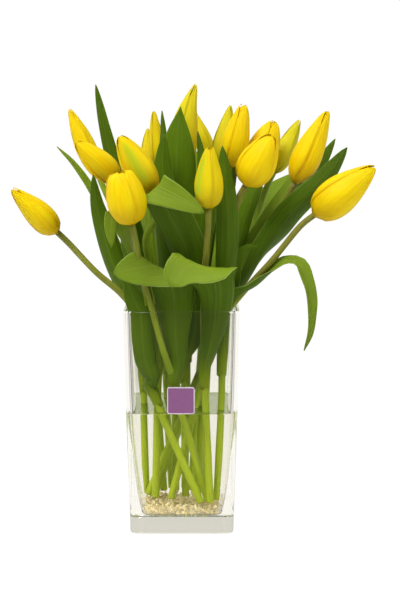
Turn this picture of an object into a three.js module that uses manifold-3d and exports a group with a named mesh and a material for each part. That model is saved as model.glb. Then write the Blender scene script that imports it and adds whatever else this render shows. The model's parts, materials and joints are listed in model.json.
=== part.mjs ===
// Yellow tulips in a tall square glass vase, with water, marble chips and a small label.
// Units are millimetres and +Z is up. The origin is the middle of the vase's base, the label's
// face looks along -Y, and +X runs to the right along that face.

import * as THREE from 'three';
import Module from 'manifold-3d';

const wasm = await Module();
wasm.setup();

// Driving dimensions of the glass vase
const VASE_HEIGHT = 200;
const VASE_BASE_HALF = 45.5;
const VASE_RIM_HALF = 51.5;
const VASE_CORNER = 5;
const VASE_FLOOR = 15;
const RIM_ROUND = 2;
const FOOT_ROUND = 3;
const RIM_FLAT = 0.3;
const CORNER_STEPS = 3;

// The inside of the glass: half of its width at each height, from the floor to the rim
const VASE_INSIDE = [
  [35.5, 17],
  [38, 28],
  [40, 42],
  [42, 60],
  [43.6, 80],
  [45, 108],
  [47.3, 198],
];
const INSIDE_FLOOR_HALF = 32.5;
const INSIDE_CORNER = 8;

// Water, marble chips and label
const WATER_LEVEL = 108;
const TOUCH_GAP = 0.3;
const CHIP_TOP = 26.2;
const CHIP_BED_TOP = 19;
const CHIP_PITCH = 12.6;
const CHIP_ROWS = 5;
const CHIP_SIZE = 5.5;
const CHIP_FLATNESS = 0.72;
const CHIP_SHORTEST = 0.78;
const CHIP_UNEVENNESS = 0.4;
const CHIP_JITTER = 2.4;
const CHIP_RISE = 1.6;
const CHIP_SEED = 41;
const CHIP_WALL_GAP = 0.5;
const LABEL_SIZE = 24;
const LABEL_ROUND = 2.2;
const LABEL_THICKNESS = 0.6;
const LABEL_CORNER_STEPS = 3;
const LABEL_MIDDLE = [-0.6, 121.5];

// Tulip stems, leaves and petals
const STEM_FOOT = 26.5;
const STEM_RADIUS_FOOT = 3.5;
const STEM_RADIUS_TOP = 2.8;
const STEM_SIDES = 6;
const STEM_STEPS = 8;
const WATER_BEND = 114;
const BLOOM_LEAD = 14;
const LEAF_THICKNESS = 1;
const LEAF_ROWS = 7;
const LEAF_COLUMNS = 4;
const LEAF_TAPER = 0.65;
const LEAF_TIP_HALF = 0.6;
const SHEATH_WIDTH = 6.5;
const SHEATH_FADE = 6;
const SHEATH_GAP = 0.6;
const ROOT_DEPTH = 0.3;
const WIDEST_CURL = 1.9;
const PETAL_LEVELS = [0, 0.16, 0.42, 0.7, 0.9, 1];
const PETAL_COLUMNS = 3;
const PETAL_SPREAD = 56;
const PETAL_BLUNTNESS = 8;
const PETAL_LAP = 0.45;
const PETAL_STEP = 2;
const PETAL_TIP_RADIUS = 0.6;
const PETAL_TIP_HALF = 0.5;
const INNER_INSET = 1.3;
const INNER_REACH = 0.95;
const INNER_LEAST = 0.6;
const HOLLOW_DEPTH = 0.03;

const DEGREE = Math.PI / 180;

// Small vector helpers
function vector(list) {
  return new THREE.Vector3(list[0], list[1], list[2]);
}

function mix(a, b, share) {
  return a + (b - a) * share;
}

// A closed solid from shared points and outward triangles
function solid(points, triangles) {
  const vertProperties = new Float32Array(points.flatMap((point) => [point.x, point.y, point.z]));
  const triVerts = new Uint32Array(triangles.flat());
  return new wasm.Manifold(new wasm.Mesh({ numProp: 3, vertProperties, triVerts }));
}

// A skin over rings of equal length, closed by flat ends, or at its last ring by a middle point
function loft(rings, middle) {
  const sides = rings[0].length;
  const last = (rings.length - 1) * sides;
  const triangles = [];
  for (let row = 0; row < last; row += sides) {
    for (let side = 0; side < sides; side += 1) {
      const here = row + side;
      const next = row + ((side + 1) % sides);
      triangles.push([here, next, next + sides], [here, next + sides, here + sides]);
    }
  }
  for (let side = 1; side < sides - 1; side += 1) {
    triangles.push([0, side + 1, side]);
    if (!middle) {
      triangles.push([last, last + side, last + side + 1]);
    }
  }
  const points = rings.flat();
  if (middle) {
    points.push(middle);
    for (let side = 0; side < sides; side += 1) {
      triangles.push([last + side, last + ((side + 1) % sides), points.length - 1]);
    }
  }
  return solid(points, triangles);
}

// A thin blade of even thickness over a grid of points and normals, split alike on both faces
function blade(rows, thickness) {
  const columns = rows[0].length;
  const count = rows.length * columns;
  const points = [];
  for (const side of [0.5, -0.5]) {
    for (const spot of rows.flat()) {
      points.push(spot.point.clone().addScaledVector(spot.normal, side * thickness));
    }
  }
  const triangles = [];
  for (let row = 0; row < rows.length - 1; row += 1) {
    for (let column = 0; column < columns - 1; column += 1) {
      const a = row * columns + column;
      const b = a + 1;
      const c = b + columns;
      const d = a + columns;
      triangles.push([a, b, c], [a, c, d]);
      triangles.push([a + count, c + count, b + count], [a + count, d + count, c + count]);
    }
  }
  const edge = [];
  for (let column = 0; column < columns - 1; column += 1) {
    edge.push(column);
  }
  for (let row = 0; row < rows.length - 1; row += 1) {
    edge.push(row * columns + columns - 1);
  }
  for (let column = columns - 1; column > 0; column -= 1) {
    edge.push((rows.length - 1) * columns + column);
  }
  for (let row = rows.length - 1; row > 0; row -= 1) {
    edge.push(row * columns);
  }
  edge.forEach((from, index) => {
    const to = edge[(index + 1) % edge.length];
    triangles.push([from + count, to + count, to], [from + count, to, from]);
  });
  return solid(points, triangles);
}

// A named mesh of one solid
function meshOf(name, body, material) {
  const shape = body.getMesh();
  const geometry = new THREE.BufferGeometry();
  const positions = new Float32Array(shape.vertProperties);
  geometry.setAttribute('position', new THREE.BufferAttribute(positions, shape.numProp));
  geometry.setIndex(new THREE.BufferAttribute(new Uint32Array(shape.triVerts), 1));
  const mesh = new THREE.Mesh(geometry, material);
  mesh.name = name;
  return mesh;
}

// Materials
const glass = new THREE.MeshStandardMaterial({ color: 0xe4ebe6, roughness: 0.04, metalness: 0 });
const waterLook = new THREE.MeshStandardMaterial({ color: 0xcfdccb, roughness: 0.02, metalness: 0 });
const marble = new THREE.MeshStandardMaterial({ color: 0xe6d9bd, roughness: 0.6, metalness: 0 });
const labelLook = new THREE.MeshStandardMaterial({ color: 0x93608a, roughness: 0.4, metalness: 0 });
const leafGreen = new THREE.MeshStandardMaterial({ color: 0x3f7a2c, roughness: 0.5, metalness: 0 });
const petalYellow = new THREE.MeshStandardMaterial({ color: 0xf6cf0e, roughness: 0.45, metalness: 0 });

// One level of the vase: a square with rounded corners
function roundedSquare(half, corner, height) {
  const ring = [];
  for (let quarter = 0; quarter < 4; quarter += 1) {
    for (let step = 0; step <= CORNER_STEPS; step += 1) {
      const angle = (quarter + step / CORNER_STEPS) * 90 * DEGREE;
      const middle = half - corner;
      const signX = quarter === 0 || quarter === 3 ? 1 : -1;
      const signY = quarter < 2 ? 1 : -1;
      const x = signX * middle + corner * Math.cos(angle);
      const y = signY * middle + corner * Math.sin(angle);
      ring.push(new THREE.Vector3(x, y, height));
    }
  }
  return ring;
}

function outsideHalf(height) {
  return mix(VASE_BASE_HALF, VASE_RIM_HALF, height / VASE_HEIGHT);
}

function insideHalf(height) {
  const above = VASE_INSIDE.findIndex((level) => level[1] >= height);
  if (above <= 0) {
    return VASE_INSIDE[above === 0 ? 0 : VASE_INSIDE.length - 1][0];
  }
  const [lowHalf, low] = VASE_INSIDE[above - 1];
  const [highHalf, high] = VASE_INSIDE[above];
  return mix(lowHalf, highHalf, (height - low) / (high - low));
}

// The glass: one skin from the foot up the outside, over the rim and down the inside
function makeVase() {
  const rings = [
    roundedSquare(VASE_BASE_HALF - FOOT_ROUND, VASE_CORNER, 0),
    roundedSquare(VASE_BASE_HALF - FOOT_ROUND / 4, VASE_CORNER, FOOT_ROUND / 4),
    roundedSquare(outsideHalf(FOOT_ROUND), VASE_CORNER, FOOT_ROUND),
    roundedSquare(outsideHalf(VASE_HEIGHT - RIM_ROUND), VASE_CORNER, VASE_HEIGHT - RIM_ROUND),
    roundedSquare(VASE_RIM_HALF - RIM_ROUND / 2, VASE_CORNER, VASE_HEIGHT - RIM_ROUND / 4),
    roundedSquare(VASE_RIM_HALF - RIM_ROUND, VASE_CORNER, VASE_HEIGHT),
    roundedSquare(mix(insideHalf(VASE_HEIGHT), VASE_RIM_HALF, RIM_FLAT), VASE_CORNER, VASE_HEIGHT - 0.4),
  ];
  for (const [half, height] of [...VASE_INSIDE].reverse()) {
    rings.push(roundedSquare(half, mix(INSIDE_CORNER, VASE_CORNER, height / VASE_HEIGHT), height));
  }
  rings.push(roundedSquare(INSIDE_FLOOR_HALF, INSIDE_CORNER, VASE_FLOOR));
  return loft(rings);
}

// Seeded draws for the marble chips
function draws(seed) {
  let state = seed;
  return () => {
    state = (state * 1103515245 + 12345) % 2147483648;
    return state / 2147483648;
  };
}

// One marble chip: an icosahedron with its corners pushed about
function makeChip(x, y, z, size, draw) {
  const ball = new THREE.IcosahedronGeometry(size, 0);
  const position = ball.getAttribute('position');
  const points = [];
  const triangles = [];
  const places = new Map();
  for (let index = 0; index < position.count; index += 1) {
    const corner = new THREE.Vector3().fromBufferAttribute(position, index);
    const key = corner.toArray().map((value) => value.toFixed(3)).join();
    if (!places.has(key)) {
      places.set(key, points.length);
      corner.multiplyScalar(CHIP_SHORTEST + CHIP_UNEVENNESS * draw());
      corner.z *= CHIP_FLATNESS;
      points.push(corner.add(new THREE.Vector3(x, y, z)));
    }
    if (index % 3 === 0) {
      triangles.push([]);
    }
    triangles[triangles.length - 1].push(places.get(key));
  }
  return solid(points, triangles);
}

// The chips lie in rows on a thin bed that joins them, and none rises above the stems' feet
function makeGravel() {
  const draw = draws(CHIP_SEED);
  const bedHalf = INSIDE_FLOOR_HALF - 1;
  const bedBottom = VASE_FLOOR + TOUCH_GAP;
  const rings = [
    roundedSquare(bedHalf - 0.5, INSIDE_CORNER, bedBottom),
    roundedSquare(bedHalf + 1.5, INSIDE_CORNER, CHIP_BED_TOP),
  ];
  let pile = loft(rings);
  for (let row = 0; row < CHIP_ROWS; row += 1) {
    for (let column = 0; column < CHIP_ROWS; column += 1) {
      const x = (column - (CHIP_ROWS - 1) / 2) * CHIP_PITCH + CHIP_JITTER * (draw() - 0.5);
      const y = (row - (CHIP_ROWS - 1) / 2) * CHIP_PITCH + CHIP_JITTER * (draw() - 0.5);
      const size = CHIP_SIZE * (0.85 + 0.25 * draw());
      const z = CHIP_BED_TOP + CHIP_RISE * draw();
      pile = pile.add(makeChip(x, y, z, size, draw));
    }
  }
  const room = loft([
    roundedSquare(INSIDE_FLOOR_HALF - TOUCH_GAP, INSIDE_CORNER, bedBottom),
    roundedSquare(VASE_INSIDE[0][0] - CHIP_WALL_GAP, INSIDE_CORNER, VASE_INSIDE[0][1]),
    roundedSquare(insideHalf(CHIP_TOP) - CHIP_WALL_GAP, INSIDE_CORNER, CHIP_TOP),
  ]);
  return pile.intersect(room);
}

// The label: a thin square plate with rounded corners, close to the leaning front face
function makeLabel() {
  const slope = (VASE_RIM_HALF - VASE_BASE_HALF) / VASE_HEIGHT;
  const [middleX, middleZ] = LABEL_MIDDLE;
  const half = LABEL_SIZE / 2;
  const rings = [0, 1].map((layer) => {
    const ring = [];
    for (let quarter = 0; quarter < 4; quarter += 1) {
      for (let step = 0; step <= LABEL_CORNER_STEPS; step += 1) {
        const angle = (quarter + step / LABEL_CORNER_STEPS) * 90 * DEGREE;
        const signX = quarter === 0 || quarter === 3 ? 1 : -1;
        const signZ = quarter < 2 ? 1 : -1;
        const x = middleX + signX * (half - LABEL_ROUND) + LABEL_ROUND * Math.cos(angle);
        const z = middleZ + signZ * (half - LABEL_ROUND) + LABEL_ROUND * Math.sin(angle);
        const y = -VASE_BASE_HALF - slope * z - TOUCH_GAP - layer * LABEL_THICKNESS;
        ring.push(new THREE.Vector3(x, y, z));
      }
    }
    return ring;
  });
  return loft(rings);
}

// The seventeen tulips. Each stem is straight through the water from its foot, then runs through
// the listed points to the base of its bloom. The bloom runs from there to its tip.
// low and full set where the bloom swells and how full it is, open how wide its top stays, blunt how
// broad its petals' tips are, and bow how far its middle stands off the straight line.
const TULIPS = {
  1: {
    foot: [16.5, -31], water: [-21, -31],
    path: [[-39, -26, 168], [-41.5, -24, 195], [-53, -21, 211], [-75, -20, 230]],
    bloom: [[-109.3, -18, 265.5], [-145.9, -34, 304.1]], width: 23, low: 0.62, full: 0.7, open: 0.1, turn: 20,
  },
  2: {
    foot: [-17, 20], water: [-23, 20],
    path: [[-30, 20, 195], [-46, 26, 240]],
    bloom: [[-79.8, 38, 319.1], [-103, 40, 372.4]], width: 18, low: 0.62, full: 0.7, open: 0.1, turn: 0,
  },
  3: {
    foot: [-33, 10], water: [-35, 6],
    path: [[-37, 2, 195], [-47, 0, 245]],
    bloom: [[-56.5, -2, 310.2], [-92.1, -14, 343.8]], width: 24, low: 0.7, full: 0.65, open: 0.15, turn: 40,
  },
  4: {
    foot: [-24, -10], water: [-22, -10],
    path: [[-19, -10, 195], [-27, -22, 232], [-31, -30, 262]],
    bloom: [[-24.5, -34, 299.8], [-52.5, -44, 350]], width: 27, low: 0.72, full: 0.66, open: 0.12, turn: 34,
  },
  5: {
    foot: [23, -23], water: [-2, -31],
    path: [[-9, -38, 143], [-16, -42, 165], [-24.5, -43, 197], [-29.5, -45.5, 215], [-35.5, -49.5, 238]],
    bloom: [[-41.5, -62, 276], [-51, -68, 321]], width: 32.5, low: 0.85, full: 0.42, open: 0.2, turn: 112,
    blunt: 18,
  },
  6: {
    foot: [-10, 31], water: [-15, 33],
    path: [[-20, 35, 195], [-27, 48, 245]],
    bloom: [[-33.3, 62, 305.1], [-33.1, 74, 354.9]], width: 13, low: 0.62, full: 0.7, open: 0.1, turn: 0,
  },
  7: {
    foot: [-6, 21], water: [-7, 21],
    path: [[-8, 21, 195], [-14, 32, 250]],
    bloom: [[-21.7, 48, 318.7], [-26.3, 54, 370.6]], width: 14, low: 0.62, full: 0.7, open: 0.1, turn: 50,
  },
  8: {
    foot: [3, -6], water: [2, -6],
    path: [[2, 0, 195], [3, 10, 250]],
    bloom: [[6.5, 26, 322], [12, 30, 394.6]], width: 22, low: 0.8, full: 0.85, open: 0.05, turn: 75,
    bow: [-6.7, 0, 0],
  },
  9: {
    foot: [2, 30], water: [4, 33],
    path: [[6, 36, 195], [17, 50, 250]],
    bloom: [[27.2, 66, 318], [11, 76, 369.5]], width: 16, low: 0.6, full: 0.7, open: 0.1, turn: 0,
  },
  10: {
    foot: [8, 22], water: [14, 24],
    path: [[20, 26, 195], [26, 33, 250]],
    bloom: [[33.4, 44, 321.6], [43.9, 50, 376.1]], width: 18, low: 0.6, full: 0.75, open: 0.1, turn: 0,
  },
  11: {
    foot: [14, -4.5], water: [18, -4],
    path: [[23, -3, 195], [31, 2, 250]],
    bloom: [[42.3, 8, 321.2], [55.2, 4, 376.7]], width: 23, low: 0.68, full: 0.65, open: 0.2, turn: 60,
  },
  12: {
    foot: [25, -32], water: [21, -31],
    path: [[19, -32, 195], [19.5, -42, 225]],
    bloom: [[23.2, -58, 289.4], [23.9, -64, 340.8]], width: 24, low: 0.62, full: 0.7, open: 0.2, turn: 100,
    blunt: 14,
  },
  13: {
    foot: [18, 31], water: [22, 34],
    path: [[27, 37, 195], [45, 30, 250]],
    bloom: [[62, 18, 312.5], [83, 22, 362]], width: 29, low: 0.75, full: 0.6, open: 0.1, turn: 80,
  },
  14: {
    foot: [-10, -16], water: [13, -13.5],
    path: [[36, -11, 195], [43, -20, 250]],
    bloom: [[55.4, -36, 307.6], [77.6, -50, 350.5]], width: 32, low: 0.72, full: 0.6, open: 0.12, turn: 15,
  },
  15: {
    foot: [-25, 11], water: [8, 14.5],
    path: [[38, 18, 195], [57, 27, 245]],
    bloom: [[83.6, 40, 315.4], [107.5, 54, 362.4]], width: 18, low: 0.6, full: 0.75, open: 0.1, turn: 0,
  },
  16: {
    foot: [-31, 2], water: [6, 3.5],
    path: [[40, 5, 195], [61, 2, 240]],
    bloom: [[99.6, -6, 308.2], [127, -12, 370.6]], width: 26, low: 0.66, full: 0.75, open: 0.08, turn: 80,
  },
  17: {
    foot: [31, -20], water: [35, -21],
    path: [[39.5, -23, 193], [51, -25.5, 210], [78, -31, 241]],
    bloom: [[114.3, -38, 282], [164.4, -52, 323.7]], width: 33, low: 0.66, full: 0.7, open: 0.1, turn: 25,
  },
};

// How far along a stem's curve a height is reached
function shareAt(curve, height) {
  let low = 0;
  let high = 1;
  for (let step = 0; step < 24; step += 1) {
    const middle = (low + high) / 2;
    if (curve.getPointAt(middle).z < height) {
      low = middle;
    } else {
      high = middle;
    }
  }
  return low;
}

function stemCurve(tulip) {
  const [base, tip] = tulip.bloom.map(vector);
  const axis = tip.clone().sub(base).normalize();
  const foot = new THREE.Vector3(tulip.foot[0], tulip.foot[1], STEM_FOOT);
  const bend = new THREE.Vector3(tulip.water[0], tulip.water[1], WATER_BEND);
  const middle = foot.clone().lerp(bend, 0.5);
  const end = base.clone().addScaledVector(axis, -TOUCH_GAP);
  const lead = base.clone().addScaledVector(axis, -BLOOM_LEAD);
  const points = [foot, middle, bend, ...tulip.path.map(vector), lead, end];
  return new THREE.CatmullRomCurve3(points, false, 'centripetal');
}

// A round stem along a curve, thinner towards the bloom: one straight stretch through the water,
// then equal steps to the bloom
function makeStem(curve, extra) {
  const bend = shareAt(curve, WATER_BEND);
  const places = [0];
  for (let step = 0; step <= STEM_STEPS; step += 1) {
    places.push(mix(bend, 1, step / STEM_STEPS));
  }
  const normal = new THREE.Vector3(1, 0, 0);
  return loft(places.map((place) => {
    const tangent = curve.getTangentAt(place);
    normal.addScaledVector(tangent, -normal.dot(tangent)).normalize();
    const binormal = tangent.clone().cross(normal);
    const radius = mix(STEM_RADIUS_FOOT, STEM_RADIUS_TOP, place) + extra;
    return Array.from({ length: STEM_SIDES }, (unused, side) => {
      const angle = (side / STEM_SIDES) * 360 * DEGREE;
      return curve.getPointAt(place)
        .addScaledVector(normal, radius * Math.cos(angle))
        .addScaledVector(binormal, radius * Math.sin(angle));
    });
  }));
}

// The bloom's radius from its base, 0, to its tip, 1
function bloomRadius(tulip, along) {
  const swell = Math.sin(Math.PI * along ** tulip.low) ** tulip.full;
  const radius = (tulip.width / 2) * (swell + tulip.open * along ** 6);
  return Math.max(radius, mix(STEM_RADIUS_TOP, PETAL_TIP_RADIUS, along));
}

// A closed bloom. At each level the skin runs over three outer petals, which lap like a spiral,
// and steps down between them onto the three inner petals. The petals' tips stand free of each
// other round a hollow.
function makeBloom(tulip) {
  const [base, tip] = tulip.bloom.map(vector);
  const length = tip.distanceTo(base);
  const axis = tip.clone().sub(base).normalize();
  const turned = new THREE.Quaternion().setFromUnitVectors(new THREE.Vector3(0, 0, 1), axis);
  const blunt = tulip.blunt ?? PETAL_BLUNTNESS;
  const bow = vector(tulip.bow ?? [0, 0, 0]);
  const place = (radius, degrees, along) => new THREE.Vector3(
    radius * Math.cos(degrees * DEGREE),
    radius * Math.sin(degrees * DEGREE),
    length * along,
  ).applyQuaternion(turned).add(base).addScaledVector(bow, Math.sin(Math.PI * along));

  const rings = PETAL_LEVELS.map((along) => {
    const radius = bloomRadius(tulip, along);
    const inner = Math.max(radius - INNER_INSET, radius * INNER_LEAST);
    const least = PETAL_TIP_HALF / radius / DEGREE;
    const spread = Math.max(PETAL_SPREAD * Math.sqrt(1 - along ** blunt), least);
    const ring = [];
    for (let petal = 0; petal < 3; petal += 1) {
      const middle = tulip.turn + 120 * petal;
      for (let column = 0; column <= PETAL_COLUMNS; column += 1) {
        const across = (column / PETAL_COLUMNS) * 2 - 1;
        const lap = PETAL_LAP * across * Math.min(1, 4 * along);
        ring.push(place(radius + lap, middle + across * spread, along));
      }
      for (const between of [spread + PETAL_STEP, 60, 120 - spread - PETAL_STEP]) {
        ring.push(place(inner, middle + between, along * INNER_REACH));
      }
    }
    return ring;
  });
  return loft(rings, place(0, 0, INNER_REACH - HOLLOW_DEPTH));
}

// The leaves. Each clasps its own stem from the height that base gives, on the side given in
// degrees (0 is +X and -90 is the front), and then runs through the listed points to its tip.
// high moves its broadest place towards the tip and taper makes its ends blunter. cup is the radius
// of its hollow near the tip and crease the fold along its midrib in degrees. Between two shares of
// its length faces turns its hollow side towards a direction, and fold turns its end over at a
// slanting line.
const LEAVES = [
  { tulip: 1, base: 112, side: -110, width: 23, cup: 34, crease: 8, high: 1.2,
    points: [[-26, -38, 136], [-32, -40, 157], [-34.6, -41, 178], [-35.8, -41, 197],
      [-42.5, -45.5, 213], [-48, -50, 231]],
    faces: [{ from: 0.1, to: 0.35, towards: [0, 1, 0] }] },
  { tulip: 3, base: 116, side: -110, width: 24, cup: 24, crease: 18, high: 0.95, rows: 9,
    points: [[-34, -6, 150], [-34, -8, 175], [-35.6, -9, 197], [-48.7, -12, 213], [-60, -11, 236],
      [-69, -14, 266], [-74.5, -19, 292], [-76.5, -26, 316]],
    faces: [{ from: 0.1, to: 0.4, towards: [0.2, 1, 0] }] },
  { tulip: 4, base: 140, side: -160, width: 24, cup: 30, crease: 14, high: 1.2,
    points: [[-27, -17, 180], [-33, -21, 214], [-40, -23, 236], [-46, -24, 256], [-52, -24, 281]],
    faces: [{ from: 0.2, to: 0.5, towards: [0.3, 1, 0] }] },
  { tulip: 2, base: 135, side: -60, width: 15, cup: 24, crease: 22, high: 1.5, rows: 9,
    points: [[-24, 14, 190], [-33, 16, 232], [-45, 17, 273], [-55, 17, 305], [-64, 17, 332],
      [-72, 18, 368], [-77, 20, 394]],
    faces: [{ from: 0.2, to: 0.5, towards: [0.2, 1, 0.1] }] },
  { tulip: 2, base: 160, side: 150, width: 8.5, cup: 20, crease: 15, high: 1.3,
    points: [[-39, 26, 198], [-52, 29, 230], [-67, 32, 265], [-80, 37, 294], [-99, 44, 322],
      [-116, 56, 338]],
    faces: [{ from: 0.2, to: 0.5, towards: [0.3, -1, 0.4] }] },
  { tulip: 5, base: 205, side: 70, width: 15, cup: 30, crease: 10, high: 1.5, rows: 9,
    points: [[-35, -37, 230], [-42, -41, 252], [-51, -46, 274], [-57, -51, 285], [-60, -56, 276],
      [-59, -57, 256]],
    faces: [{ from: 0.45, to: 0.72, towards: [0.2, -1, 0.2] }] },
  { tulip: 5, base: 114, side: -70, width: 42, cup: 40, crease: 4, high: 1.9, rows: 12,
    points: [[-3, -38, 150], [-5, -40, 174], [-6, -41, 198], [-7, -42.5, 215], [-13, -47, 233],
      [-20, -55, 252], [-27.5, -59, 282]],
    faces: [{ from: 0.1, to: 0.3, towards: [0, 1, 0] }],
    fold: { from: [13.4, -43.5, 215.5], to: [-36, -51, 247], round: 4, angle: 160 } },
  { tulip: 12, base: 128, side: -75, width: 38, cup: 40, crease: 6, high: 2.2, taper: 0.45, rows: 13,
    points: [[24, -41, 165], [28.5, -43.5, 190], [30, -48, 210], [28.5, -54, 224], [21.5, -59, 239],
      [12, -60, 250], [9, -59, 262], [12, -59, 276]],
    faces: [{ from: 0.1, to: 0.3, towards: [0, 1, 0] }],
    fold: { from: [29.7, -60, 231.5], to: [-10.5, -60, 247.5], round: 4, angle: 160 } },
  { tulip: 8, base: 128, side: -90, width: 36, cup: 40, crease: 8, high: 1.3, rows: 12,
    points: [[7, -15, 162], [12, -18, 182], [12, -22, 202], [9, -29, 226], [5, -37, 250],
      [-5, -46, 274], [-19.5, -52, 301], [-36, -57, 327], [-52, -61, 347]],
    fold: { from: [-30, -51, 289.6], to: [-11, -55, 312.7], round: 4, angle: 160 } },
  { tulip: 8, base: 150, side: -100, width: 37, cup: 34, crease: 12, high: 2.2, taper: 1.1, rows: 10,
    points: [[-1, -3.5, 215], [-3, 0.5, 250], [-5, 2, 292], [-5, 2, 323], [-3.5, 3, 350], [-1, 5, 374.5]] },
  { tulip: 4, base: 135, side: 20, width: 26, cup: 26, crease: 14, high: 1.3,
    points: [[-10.5, -9.5, 200], [-12, -12, 225], [-12, -13, 249], [-14, -13.5, 284], [-17, -13, 319],
      [-15, -13, 351]],
    faces: [{ from: 0.2, to: 0.5, towards: [0.15, 1, 0] }] },
  { tulip: 7, base: 150, side: -120, width: 13, cup: 20, crease: 14, high: 1.3,
    points: [[-14, 14, 205], [-17, 16, 256], [-20, 17, 310], [-17, 19, 345], [-18, 22, 371]] },
  { tulip: 12, base: 150, side: 10, width: 22, cup: 24, crease: 10, high: 1.3, rows: 8,
    points: [[30, -33, 185], [33, -36, 200], [38, -40, 226], [40, -42, 252], [40, -44, 282],
      [38, -42, 312], [35, -38, 341]],
    faces: [{ from: 0.15, to: 0.4, towards: [-0.2, 1, 0] }] },
  { tulip: 11, base: 150, side: 180, width: 18, cup: 22, crease: 16, high: 0.85,
    points: [[14, -5, 185], [13.5, -6, 205], [14, -6, 225], [16, -5, 250], [18, -4, 292], [18, -2, 323],
      [14, 2, 353]],
    faces: [{ from: 0.1, to: 0.4, towards: [0.3, 1, 0] }] },
  { tulip: 14, base: 140, side: -20, width: 27, cup: 30, crease: 14, high: 1.35, rows: 10,
    points: [[42, -12, 190], [48, -12, 206], [59, -13, 223], [74, -15, 250], [92, -17, 277],
      [107, -18, 294], [125, -15, 312], [145, -8, 339]],
    faces: [{ from: 0.38, to: 0.62, towards: [-0.2, 1, 0.2] }] },
  { tulip: 14, base: 165, side: -100, width: 14, cup: 24, crease: 8, high: 1.1,
    points: [[41, -19, 205], [44.5, -24, 225], [48, -26, 242], [56, -27, 252], [66, -28, 254]] },
  { tulip: 15, base: 150, side: -20, width: 20, cup: 24, crease: 14, high: 1.4, rows: 8,
    points: [[45, 17, 198], [53, 19, 213], [70, 19, 240], [93, 17, 273], [113, 16, 304],
      [137, 18, 346]],
    faces: [{ from: 0.38, to: 0.62, towards: [-0.2, 1, 0.2] }] },
  { tulip: 16, base: 165, side: 110, width: 19, cup: 30, crease: 12, high: 1.3,
    points: [[37, 11, 204], [47, 11, 224], [60, 10, 246], [73, 9, 267], [86, 8, 288], [106, 12, 322]],
    faces: [{ from: 0.3, to: 0.55, towards: [-0.2, -1, 0.2] }] },
  { tulip: 11, base: 160, side: 0, width: 16, cup: 24, crease: 12, high: 1.3,
    points: [[33, -3, 200], [41, -4, 222], [49, -6, 250], [55, -6, 275], [64, -5, 300], [76, 0, 338]],
    faces: [{ from: 0.3, to: 0.55, towards: [-0.1, 1, 0.2] }] },
  { tulip: 6, base: 150, side: 110, width: 26, cup: 34, crease: 12, high: 1.2, rows: 8,
    points: [[-22, 43, 195], [-30, 58, 235], [-42, 78, 275], [-54, 92, 305], [-66, 100, 335]] },
  { tulip: 6, base: 165, side: 180, width: 20, cup: 30, crease: 12, high: 1.2,
    points: [[-30, 38, 205], [-41, 45, 235], [-57, 56, 270], [-72, 66, 298], [-86, 76, 322]] },
  { tulip: 9, base: 140, side: 80, width: 28, cup: 34, crease: 12, high: 1.2, rows: 8,
    points: [[8, 43.5, 190], [10, 52, 215], [12, 72, 262], [10, 86, 305], [4, 94, 350]] },
  { tulip: 9, base: 165, side: 40, width: 18, cup: 30, crease: 12, high: 1.3,
    points: [[14, 41, 205], [20, 56, 240], [31, 72, 285], [38, 84, 330]] },
  { tulip: 10, base: 165, side: -60, width: 15, cup: 30, crease: 12, high: 1.4,
    points: [[25, 18, 200], [31, 18, 235], [38, 24, 275], [44, 28, 305], [50, 30, 335]] },
  { tulip: 13, base: 150, side: 60, width: 26, cup: 34, crease: 12, high: 1.2, rows: 8,
    points: [[33, 43, 196], [44, 53, 225], [60, 68, 262], [80, 80, 292], [104, 86, 312]] },
  { tulip: 7, base: 165, side: 100, width: 18, cup: 30, crease: 12, high: 1.3,
    points: [[-11, 30, 205], [-17, 44, 245], [-14, 62, 290], [-10, 78, 325]] },
  { tulip: 3, base: 165, side: 110, width: 16, cup: 30, crease: 12, high: 1.3,
    points: [[-42, 9, 200], [-50, 10, 215], [-60, 9, 240], [-68, 8, 262], [-75, 6, 290]] },
  { tulip: 15, base: 175, side: 80, width: 20, cup: 30, crease: 12, high: 1.3,
    points: [[44, 28, 211], [56, 38, 232], [76, 54, 262], [98, 68, 284], [120, 78, 290]] },
  { tulip: 17, base: 138, side: -75, width: 17, cup: 20, crease: 10, high: 1, rows: 10,
    points: [[37.5, -28.5, 182], [38.5, -29.5, 199], [44.5, -30, 208], [65, -32, 220], [79, -34, 233],
      [90, -36, 240.5], [101, -38, 240], [108, -40, 226], [112, -42, 209], [112.5, -44, 194],
      [111, -46, 179], [106, -47, 165]],
    faces: [{ from: 0.3, to: 0.42, towards: [-0.5, 0.1, 0.8] },
      { from: 0.45, to: 0.58, towards: [0, -0.4, 1] },
      { from: 0.6, to: 0.75, towards: [0.6, -0.8, 0.2] }] },
];

// The start of every leaf: heights above its base and how far it stands off the stem's skin
const LEAF_ROOT = [
  [0, -1],
  [9, 0.4],
  [24, 2],
];

// A level direction from its angle in degrees
function level(degrees) {
  return new THREE.Vector3(Math.cos(degrees * DEGREE), Math.sin(degrees * DEGREE), 0);
}

// Turns everything past a line in an upright plane over towards the front, round a roll
function foldOver(point, fold) {
  const from = vector(fold.from);
  const line = vector(fold.to).sub(from).normalize();
  const front = new THREE.Vector3(0, -1, 0);
  front.addScaledVector(line, -front.dot(line)).normalize();
  const beyond = front.clone().cross(line).normalize();
  if (beyond.z < 0) {
    beyond.negate();
  }
  const offset = point.clone().sub(from);
  const past = offset.dot(beyond);
  if (past <= 0) {
    return point;
  }
  const proud = offset.dot(front);
  const along = offset.dot(line);
  const limit = fold.angle * DEGREE;
  const angle = Math.min(past / fold.round, limit);
  const rest = past - angle * fold.round;
  const reach = (fold.round - proud) * Math.sin(angle) + rest * Math.cos(angle);
  const rise = fold.round - (fold.round - proud) * Math.cos(angle) + rest * Math.sin(angle);
  return from.addScaledVector(line, along).addScaledVector(beyond, reach).addScaledVector(front, rise);
}

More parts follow.
